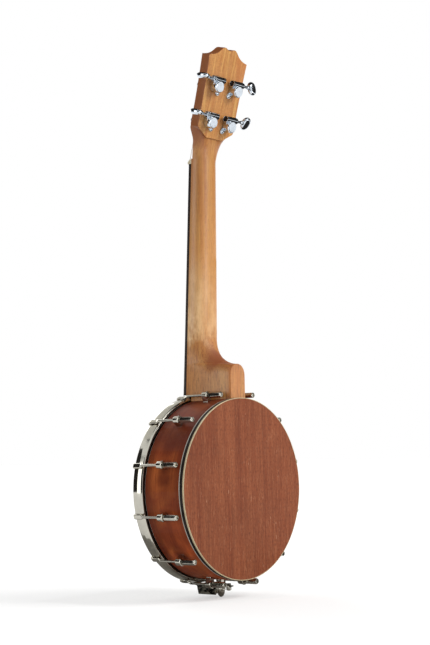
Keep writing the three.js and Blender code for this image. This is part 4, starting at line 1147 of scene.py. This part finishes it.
def post_form():
    tip = -HEAD - POST_PROUD
    gear_top = WORM_HEIGHT + GEAR / 2
    shaft = turned([
        (POST_CAP_RADIUS - 1.3, tip), (POST_CAP_RADIUS - 0.4, tip + 0.15),
        (POST_CAP_RADIUS, tip + 0.55), (POST_CAP_RADIUS, tip + 1.1),
        (POST_CAP_RADIUS - 0.3, tip + 1.45), (POST_WAIST_RADIUS + 0.2, tip + 2.1),
        (POST_WAIST_RADIUS, -HEAD - POST_WAIST_TOP), (POST_WAIST_RADIUS, -HEAD - POST_WAIST_BOTTOM),
        (POST_RADIUS, -HEAD - POST_WAIST_BOTTOM + 0.4), (POST_RADIUS, gear_top),
    ])
    teeth = []
    for tooth in range(GEAR_TEETH):
        for shift, reach in ((-0.42, -0.9), (-0.2, 0), (0.2, 0), (0.42, -0.9)):
            angle = FULL * (tooth + shift) / GEAR_TEETH
            radius = GEAR_RADIUS + reach
            teeth.append((radius * math.cos(angle), radius * math.sin(angle)))
    return shaft + plate(teeth, gear_top - GEAR, gear_top, 0.15)


def bushing_form():
    face = -HEAD
    sleeve = BUSHING_RADIUS - 0.3
    bore = sleeve - 0.9
    top, low = face - 1.8, face + 7
    return ringed(rounded([
        (BUSHING_FLANGE_RADIUS - 0.5, top), (BUSHING_FLANGE_RADIUS, face - 1.0),
        (BUSHING_FLANGE_RADIUS, face - SEAT), (sleeve, face - SEAT),
        (sleeve, low), (bore, low), (bore, top),
    ], 0.25, 3), 56)


def screw_form(radius, height):
    """A screw's domed head with a cross recess."""
    dome = [(radius * math.cos(a), 0.25 + (height - 0.25) * math.sin(a)) for a in arc(9)[1:-1]]
    head = raw_object("screw_work", turned([(radius, 0), (radius, 0.25), *dome]))
    arm, slot = radius * 0.62, radius * 0.16
    for x, z in ((arm, slot), (slot, arm)):
        combine(head, "DIFFERENCE", box((-x, height - 0.6, -z), (x, height + 2, z)))
    return taken(head)


def on_worm(form, side):
    """A form that was made along y, laid along the worm and facing out on its side."""
    form = along_x(form)
    if side < 0:
        form = form.moved(Matrix.Rotation(HALF, 4, "Y"))
    return form.moved(at(0, WORM_HEIGHT, WORM_OFFSET))


def housing_form(side, screw):
    cap_top = HOUSING_HEIGHT + CAP_HEIGHT
    body = turned([
        (HOUSING_RADIUS - 0.5, SEAT), (HOUSING_RADIUS, 0.5), (HOUSING_RADIUS, HOUSING_HEIGHT - 0.7),
        (HOUSING_RADIUS - 0.2, HOUSING_HEIGHT - 0.25), (HOUSING_RADIUS - 0.55, HOUSING_HEIGHT),
        (CAP_RADIUS + 0.05, HOUSING_HEIGHT), (CAP_RADIUS, HOUSING_HEIGHT + 0.1),
        (CAP_RADIUS, cap_top - 0.45), (CAP_RADIUS - 0.2, cap_top - 0.12), (CAP_RADIUS - 0.6, cap_top),
    ], 72)
    tube = turned(rounded([
        (0.4, WORM_FLOOR), (WORM_HOLLOW_RADIUS, WORM_FLOOR), (WORM_HOLLOW_RADIUS, -WORM_INNER_REACH),
        (WORM_TUBE_RADIUS, -WORM_INNER_REACH), (WORM_TUBE_RADIUS, WORM_OUTER_REACH - 2.2),
        (TUBE_NECK, WORM_OUTER_REACH - 2.0), (TUBE_NECK, WORM_OUTER_REACH),
        (TUBE_BORE, WORM_OUTER_REACH), (TUBE_BORE, WORM_OUTER_REACH - 1.2), (0.4, WORM_OUTER_REACH - 1.2),
    ], 0.35, 3, closed=False), 48)
    outline = rectangle(-HOUSING_RADIUS, HOUSING_RADIUS, 0, WORM_OFFSET + 2)
    block = plate(rounded(outline, 1.0, 3), SEAT, WORM_HEIGHT + 0.6, 0.5)
    outline = rectangle(-TAB_RADIUS, TAB_RADIUS, 0, TAB_OFFSET * math.sqrt(2))
    arm = plate(rounded(outline, 0.3, 2), SEAT, TAB, 0.25)
    arm = arm.moved(Matrix.Rotation(HALF + QUARTER / 2 * side, 4, "Y"))
    corner = at(-TAB_OFFSET * side, 0, -TAB_OFFSET)
    tab = rod(TAB_RADIUS, SEAT, TAB, 0.25).moved(corner)
    head = screw.moved(corner @ at(0, TAB, 0) @ Matrix.Rotation(TAB_SCREW_TURN, 4, "Y"))
    return body + on_worm(tube, side) + block + arm + tab + head


def worm_end_form(side):
    """The worm's end, down in the tube's hollow, near black as painted shade."""
    return on_worm(turned([
        (WORM_END_RADIUS, WORM_FLOOR - 0.05), (WORM_END_RADIUS, WORM_FLOOR - 0.9),
        (WORM_END_RADIUS - 0.5, WORM_FLOOR - 1.1), (0.9, WORM_FLOOR - 1.1), (0.5, WORM_FLOOR - 0.8),
    ]), side)


def knob_form(side, turn):
    """Worm, collar, shaft, ferrule and oval button, turned as it was left."""
    collar_end = WORM_OUTER_REACH - 0.3
    collar_start = collar_end - 2.4
    button_start = KNOB_CENTRE - KNOB_LENGTH / 2
    spindle = turned(rounded([
        (0.3, -WORM_HALF), (WORM_RADIUS, -WORM_HALF),
        (WORM_RADIUS, WORM_HALF), (KNOB_SHAFT_RADIUS, WORM_HALF),
        (KNOB_SHAFT_RADIUS, collar_start), (KNOB_COLLAR_RADIUS, collar_start),
        (KNOB_COLLAR_RADIUS, collar_end), (KNOB_SHAFT_RADIUS, collar_end),
        (KNOB_SHAFT_RADIUS, button_start - 3), (FERRULE_RADIUS, button_start - 1.2),
        (FERRULE_RADIUS, button_start + 1.5), (0.3, button_start + 3),
    ], 0.4, 3, closed=False))
    rings = []
    for angle in arc(32, HALF)[1:-1]:
        y = KNOB_CENTRE - math.cos(angle) * KNOB_LENGTH / 2
        reach = math.sin(angle) ** 0.82 / 2
        thick, high = reach * KNOB_THICKNESS, reach * KNOB_HEIGHT
        rings.append([
            (-softened(math.sin(a), 0.8) * thick, y, softened(math.cos(a), 0.88) * high) for a in circle(48)
        ])
    form = (spindle + loft(rings)).moved(Matrix.Rotation(turn, 4, "Y"))
    return on_worm(form, side)


def make_tuners():
    screw = screw_form(TAB_SCREW_RADIUS, TAB_SCREW_HEIGHT)
    places = [(station, side) for station in TUNER_STATIONS for side in (1, -1)]
    for number, (station, side) in enumerate(places, 1):
        here = HEADSTOCK @ at(side * TUNER_SIDE, HEAD, station)
        turn = math.radians(KNOB_TURNS_DEGREES[number - 1])
        for name, form, finish, node, body in (
            ("tuner_case", housing_form(side, screw), "tuner_chrome", "tuner_housing", ROOT),
            ("tuner_button", knob_form(side, turn), "tuner_chrome", "tuner_knob", f"knob_{number}"),
            ("string_post", post_form(), "tuner_chrome", "tuner_post", f"post_{number}"),
            ("post_bushing", bushing_form(), "nickel", "tuner_bushing", ROOT),
        ):
            make(f"{name}_{number}", form.moved(here), finish, f"{node}_{number}", body=body)
        # painted shade: a near-black end in each tube's hollow
        make(f"worm_end_{number}", worm_end_form(side).moved(here), "black_painted_shade")


# Tail: coordinator rod, dome nut, bracket and tailpiece

def at_tail(form, depth=ROD_DEPTH):
    """A form that was made along y, laid along z on the coordinator rod or at another depth."""
    return along_z(form).moved(at(0, -depth, 0))


def make_rod_and_nut():
    shoulder = RIM_INNER - 0.4
    bar = turned(rounded([
        (ROD_END_RADIUS, DOME_NUT_TOP - 6), (ROD_END_RADIUS, -shoulder), (ROD_RADIUS, -shoulder),
        (ROD_RADIUS, shoulder), (ROD_END_RADIUS, shoulder), (ROD_END_RADIUS, POT_RADIUS + 14),
    ], 0.4, 3, closed=False))
    make("coordinator_bar", at_tail(bar), "nickel", "coordinator_rod")
    low = DOME_NUT_TOP - DOME_NUT_HEX
    flat = DOME_NUT_ACROSS / 2
    corner = flat / math.cos(FULL / 12)
    hexagon = hexagonal([
        (2, DOME_NUT_TOP), (flat - 0.1, DOME_NUT_TOP), (corner, DOME_NUT_TOP - 0.7), (corner, low + 0.8),
        (flat, low + 0.15), (DOME_RADIUS, low), (DOME_RADIUS - 0.5, low - 0.1),
    ], DOME_NUT_ACROSS)
    dome = [(DOME_RADIUS * math.cos(a), low - DOME_HEIGHT * math.sin(a)) for a in arc(16)[:-1]]
    cap = turned([(DOME_RADIUS * 0.8, low + 1), *dome], 56)
    make("dome_nut", at_tail(hexagon + cap), "chrome", "tail_nut")


def make_tail_bracket():
    """A folded channel, deep in front and low behind, with a collar on the rod."""
    half = BRACKET_HALF_WIDTH
    inner = half - BRACKET_SHEET
    top = BRACKET_TOP
    web = top - BRACKET_SHEET

    def section(y, wall):
        low = top - wall
        return [(point.x, y, point.y) for point in rounded([
            (-half, top), (half, top), (half, low), (inner, low),
            (inner, web), (-inner, web), (-inner, low), (-half, low),
        ], 0.6, 3)]

    channel = loft([section(y, wall) for y, wall in (
        (BRACKET_FRONT, BRACKET_SHEET + 0.8),
        (BRACKET_FRONT + 0.4, BRACKET_SHEET + 2.2),
        (BRACKET_FRONT + BRACKET_WALL_SLANT, BRACKET_WALL),
        (BRACKET_WALL_END - 0.5, BRACKET_WALL),
        (BRACKET_WALL_END - 0.15, BRACKET_WALL - 0.4),
        (BRACKET_WALL_END, BRACKET_WALL - 1),
        (BRACKET_WALL_END + 0.15, BRACKET_LOW + 0.3),
        (BRACKET_WALL_END + 0.8, BRACKET_LOW),
        (BRACKET_BACK - 0.5, BRACKET_LOW),
        (BRACKET_BACK, BRACKET_LOW - 0.4),
    )])
    collar = at_tail(rod(BRACKET_COLLAR_RADIUS, web + 0.5, -POT_RADIUS + 0.05, 0.4))
    make("tail_channel", channel + collar, "chrome", "tail_bracket")


def make_tailpiece():
    """One bent sheet: a lip for the strings, a plate over the hoop and a leg under it."""
    middle = TAIL_FRONT + TAIL_SHEET / 2
    leg = (LEG_TOP + LEG_BOTTOM) / 2
    stations = [(middle, z, half) for z, half in (
        (TAIL_END, TAIL_HALF), (TAIL_END - 1, TAIL_HALF),
        (TAIL_WIDEN_END + 1.5, TAIL_HALF), (TAIL_WIDEN_END, TAIL_HALF - 0.3),
        (lerp(TAIL_WIDEN_END, TAIL_WIDEN_START, 0.5), (TAIL_HALF + TAIL_SHOULDER_HALF) / 2),
        (TAIL_WIDEN_START, TAIL_SHOULDER_HALF), (TAIL_WIDEN_START - 3, TAIL_SHOULDER_HALF - 1.2),
    )]
    for step, angle in enumerate(arc(10)):
        stations.append((
            middle + TAIL_BEND * (1 - math.cos(angle)),
            leg + TAIL_BEND * (1 - math.sin(angle)),
            lerp(TAIL_LEG_HALF + 0.6, TAIL_LEG_HALF, step / 10),
        ))
    for back, drawn in ((1.5, 0), (0.5, 0.5), (0, 1.6)):
        stations.append((LEG_END - back, leg, TAIL_LEG_HALF - drawn))
    stations = [(*station, TAIL_SHEET / 2, TAIL_POWER) for station in stations]
    sheet = raw_object("string_tailpiece", bent(stations, 64))
    lip_start = (-TAIL_HALF, TAIL_FRONT + TAIL_SHEET - 2.6, TAIL_END - 1.5)
    combine(sheet, "UNION", box(lip_start, (TAIL_HALF, TAIL_FRONT + 1, TAIL_END), 0.4))
    low, high = (TAIL_FRONT - 5, TAIL_END - 5), (TAIL_FRONT + 5, TAIL_END + 5)
    slot = box((-TAIL_SLOT_HALF, *low), (TAIL_SLOT_HALF, *high))
    slots = [slot.moved(at(share * STRING_SPACING_AT_TAIL, 0, 0)) for share in STRING_SHARES]
    combine(sheet, "DIFFERENCE", *slots)
    dress(sheet, "chrome", "tailpiece")
    screw = hexagonal([
        (2, LEG_BOTTOM + 0.6), (3, LEG_BOTTOM + 0.3), (3, LEG_BOTTOM - 3.4), (2.6, LEG_BOTTOM - 3.8),
        (1.6, LEG_BOTTOM - 3.8), (1.5, LEG_BOTTOM - 4.2),
    ], TAIL_SCREW_ACROSS)
    make("tail_screw", at_tail(screw, TAIL_SCREW_DEPTH), "chrome")


# Bridge and strings

def bridge_outline():
    arch_end = BRIDGE_HALF - BRIDGE_FOOT
    arch_top = (arch_end / 2, BRIDGE_ARCH)
    half = [
        Vector((BRIDGE_MIDDLE_FOOT, 0)),
        *curve([(BRIDGE_MIDDLE_FOOT, 0), (BRIDGE_MIDDLE_FOOT, BRIDGE_ARCH), arch_top], 10),
        *curve([arch_top, (arch_end, BRIDGE_ARCH), (arch_end, 0)], 10),
        Vector((BRIDGE_HALF, 0)),
        *curve([(BRIDGE_HALF, 0), (BRIDGE_HALF, BRIDGE_HEIGHT / 2), (BRIDGE_TOP_HALF, BRIDGE_HEIGHT)], 10),
    ]
    for share in STRING_SHARES[:2]:
        for step, drop in ((1, 0), (0, BRIDGE_SLOT_DEPTH), (-1, 0)):
            x = share * STRING_SPACING_AT_BRIDGE + step * BRIDGE_SLOT_HALF
            half.append(Vector((x, BRIDGE_HEIGHT - drop)))
    return mirrored(half)


def make_bridge():
    outline = bridge_outline()
    rings = []
    for side, drawn, share in ((-1, 0.25, 1), (-1, 0, 0.88), (1, 0, 0.88), (1, 0.25, 1)):
        ring = []
        for flat, point in zip(outline, inset(outline, drawn)):
            thickness = lerp(BRIDGE_BASE, BRIDGE_TOP, flat.y / BRIDGE_HEIGHT) / 2
            ring.append((point.x, BRIDGE_FOOT_FACE + 0.25 - point.y, BRIDGE_PLACE + side * thickness * share))
        rings.append(ring)
    make("string_bridge", loft(rings), "maple", "bridge")


def winding_points(start, station, side):
    """The turns of a string on its post, from where it first meets it."""
    radius = POST_WAIST_RADIUS + WINDING_GAP + STRING_RADIUS
    centre = Vector((side * TUNER_SIDE, station))
    line = centre - start
    heading = math.atan2(line.y, line.x) + side * math.asin(radius / line.length)
    first = heading + side * QUARTER
    made = []
    for step in range(int(WINDING_TURNS * WINDING_STEPS) + 1):
        angle = first - side * FULL * step / WINDING_STEPS
        height = WINDING_PITCH * step / WINDING_STEPS - WINDING_START
        made.append(HEADSTOCK @ Vector((
            centre.x + radius * math.cos(angle), height, centre.y + radius * math.sin(angle),
        )))
    return made


def string_points(share):
    side = 1 if share > 0 else -1
    station = TUNER_STATIONS[0] if abs(share) > 1 else TUNER_STATIONS[1]
    nut_x = share * STRING_SPACING_AT_NUT
    nut_back = NECK @ Vector((nut_x, STRING_BED, NUT_LINE + NUT_BLOCK))
    from_head = HEADSTOCK.inverted() @ nut_back
    over_bridge = BRIDGE_FOOT_FACE - BRIDGE_HEIGHT + BRIDGE_SLOT_DEPTH - STRING_GAP - STRING_RADIUS
    return [
        Vector((share * STRING_SPACING_AT_TAIL, TAIL_FRONT + TAIL_SHEET / 2, TAIL_END - 4.2)),
        Vector((share * STRING_SPACING_AT_BRIDGE, over_bridge, BRIDGE_PLACE)),
        NECK @ Vector((nut_x, STRING_BED, NUT_LINE)),
        nut_back,
        *winding_points(Vector((from_head.x, from_head.z)), station, side),
    ]


def make_strings():
    for number, share in enumerate(STRING_SHARES, 1):
        points = string_points(share)
        string = swept(points, [(STRING_RADIUS, STRING_RADIUS, 2)] * len(points), 14)
        behind = at(share * STRING_SPACING_AT_TAIL, TAIL_FRONT + TAIL_SHEET + 0.6, TAIL_END - 5.2)
        knot = rod(KNOT_RADIUS, -KNOT_HALF, KNOT_HALF, 0.8, 20).moved(behind)
        make(f"nylon_string_{number}", string + knot, "nylon", f"string_{number}")


# Studio, in metres

CAMERA_PLACE = (1.268, 1.0487, 0.036)
CAMERA_YAW = math.radians(130.60)
CAMERA_PITCH = math.radians(5.25)
CAMERA_ROLL = math.radians(-1.14)
CAMERA_LENS = 81.52
FLOOR_HEIGHT = -0.122
FLOOR_SIZE = 60
WORLD_LEVEL = 0.42
LAMP_TARGET = (0, 0, 0.15)
WHITE = (1, 1, 1, 1)

# Name, place, width, height, power and tint of each lamp
LAMPS = (
    ("key", (-1.2, 2.2, 1.9), 1.5, 1.5, 65, (1.0, 0.99, 0.97)),
    ("strip", (-0.62, 1.98, 0.45), 0.2, 1.5, 8, (1, 1, 1)),
    ("fill", (2.3, -0.5, 0.5), 1.4, 1.4, 10, (1, 1, 1)),
    ("front", (-0.8, -2.4, 1.5), 1.6, 1.6, 24, (1, 1, 1)),
)

# Name, stock, width, height, place and target of each card
CARDS = (
    ("wall_left", "dark_wall", 1.7, 1.65, (1.45, -1.75, 0.75), (0, 0, 0.75)),
    ("wall_camera", "dark_wall", 2.0, 1.5, (1.75, 1.5, 0.55), (0, 0, 0.55)),
    ("flag_front", "dark_wall", 1.3, 0.56, (-0.05, -0.36, 0.85), (-0.05, 0, 0.85)),
    ("flag_top", "dark_wall", 1.7, 1.15, (-0.3, -0.02, 1.02), (-0.3, -0.02, 0)),
    ("flag_side", "dark_wall", 1.5, 0.9, (-0.74, 0.52, 0.86), (0, -0.04, 0.86)),
    ("flag_below", "dark_wall", 0.7, 0.75, (-0.4, 0.275, 0.27), (-0.4, 0.275, 1)),
    ("flag_tail", "dark_cloth", 0.026, 0.0185, (0.027, -0.069, -0.1125), (0.0076, -0.052, -0.1125)),
    ("flag_dome", "dark_cloth", 0.12, 0.05, (-0.09, 0.045, -0.1), (0, -0.037, -0.117)),
    ("flag_hoop", "pale_paper", 0.24, 0.1, (0.05, -0.12, 0.19), (0.06, -0.063, 0.08)),
    ("flag_floor", "grey_paper", 0.2, 0.22, (0.04, -0.09, -0.1217), (0.04, -0.09, 1)),
)


def make_camera():
    data = bpy.data.cameras.new("camera")
    data.sensor_width = 36
    data.lens = CAMERA_LENS
    camera = added("camera", data)
    turn = (
        Matrix.Rotation(CAMERA_YAW, 4, "Z")
        @ Matrix.Rotation(QUARTER + CAMERA_PITCH, 4, "X")
        @ Matrix.Rotation(CAMERA_ROLL, 4, "Z")
    )
    camera.matrix_world = Matrix.Translation(CAMERA_PLACE) @ turn
    bpy.context.scene.camera = camera


def seen_rays(tree):
    """One for camera, glossy and transmission rays, and nought for the others."""
    path = tree.nodes.new("ShaderNodeLightPath")
    total = path.outputs["Is Camera Ray"]
    for name in ("Is Glossy Ray", "Is Transmission Ray"):
        add = tree.nodes.new("ShaderNodeMath")
        add.operation = "ADD"
        tree.links.new(total, add.inputs[0])
        tree.links.new(path.outputs[name], add.inputs[1])
        total = add.outputs[0]
    return total


def make_world():
    world = bpy.data.worlds.new("studio")
    world.use_nodes = True
    bpy.context.scene.world = world
    tree = world.node_tree
    background = tree.nodes["Background"]
    level = tree.nodes.new("ShaderNodeMapRange")
    tree.links.new(seen_rays(tree), level.inputs["Value"])
    level.inputs["To Min"].default_value = WORLD_LEVEL
    level.inputs["To Max"].default_value = 1.0
    tree.links.new(level.outputs[0], background.inputs["Strength"])
    background.inputs["Color"].default_value = WHITE


def aim(made, place, target, axis):
    """Sets an object at a place, with one of its axes towards a target."""
    made.location = place
    made.rotation_mode = "QUATERNION"
    made.rotation_quaternion = (Vector(target) - Vector(place)).to_track_quat(axis, "Y")


def flat_panel(name, material, width, height, place, target):
    """A studio surface that faces a point."""
    mesh = bpy.data.meshes.new(name)
    corners = rectangle(-width / 2, width / 2, -height / 2, height / 2)
    mesh.from_pydata([(x, y, 0) for x, y in corners], [], [(0, 1, 2, 3)])
    mesh.materials.append(material)
    panel = added(name, mesh)
    aim(panel, place, target, "Z")
    return panel


def make_floor():
    paint = Paint("floor_paper", Roughness=0.9, Emission_Color=WHITE)
    grain = paint.noise((40, 40, 40))
    paint.set("Base Color", paint.mix(grain, (0.54, 0.54, 0.54, 1), (0.56, 0.56, 0.56, 1)))
    away = paint.node("VectorMath", {0: paint.here()}, "Value", operation="LENGTH")
    paint.set("Emission Strength", paint.times(seen_rays(paint.tree), paint.ramp(away, 0.5, 3.5, 0.5, 0.8)))
    flat_panel("floor", paint.material, FLOOR_SIZE, FLOOR_SIZE, (0, 0, FLOOR_HEIGHT), (0, 0, 10))


def card_stock(name, dark, pale, cloud, edges=None, glow=0.0):
    """Dull stock clouded between two tones. Edges sharpen the clouds, from and to those levels."""
    paint = Paint(name, Roughness=1.0, Specular_IOR_Level=0.0, Emission_Color=(1, 1, 0.97, 1))
    paint.set("Emission Strength", glow)
    share = paint.noise(*cloud)
    if edges:
        share = paint.ramp(share, *edges)
    paint.set("Base Color", paint.mix(share, (*dark, 1), (*pale, 1)))
    return paint


def make_cards():
    """The studio's side walls, flags and papers, which only polished surfaces see."""
    stocks = {paint.name: paint.material for paint in (
        card_stock("dark_wall", (0.02, 0.018, 0.018), (0.04, 0.036, 0.034), ((3, 3, 3), 2)),
        card_stock(
            "dark_cloth", (0.012, 0.012, 0.012), (0.5, 0.5, 0.47), ((130, 190, 1), 2, 0.6, 0, (3, 1, 0)),
            edges=(0.46, 0.6),
        ),
        card_stock("grey_paper", (0.22, 0.21, 0.2), (0.5, 0.49, 0.46), ((90, 90, 1), 2)),
        card_stock("pale_paper", (0.5, 0.5, 0.47), (0.85, 0.85, 0.8), ((60, 90, 1), 2), glow=0.42),
    )}
    for name, stock, width, height, place, target in CARDS:
        card = flat_panel(name, stocks[stock], width, height, place, target)
        for rays in ("camera", "diffuse", "shadow", "transmission"):
            setattr(card, f"visible_{rays}", False)


def make_lamps():
    for name, place, width, height, power, tint in LAMPS:
        data = bpy.data.lights.new(name, "AREA")
        data.shape = "RECTANGLE"
        data.size = width
        data.size_y = height
        data.energy = power
        data.color = tint
        aim(added(name, data), place, LAMP_TARGET, "-Z")


make_pot()
make_head_and_hoop()
make_hooks()
make_neck()
make_fingerboard()
make_nut()
make_tuners()
make_rod_and_nut()
make_tail_bracket()
make_tailpiece()
make_bridge()
make_strings()
make_camera()
make_world()
make_floor()
make_cards()
make_lamps()

bpy.context.scene.view_settings.view_transform = "Standard"
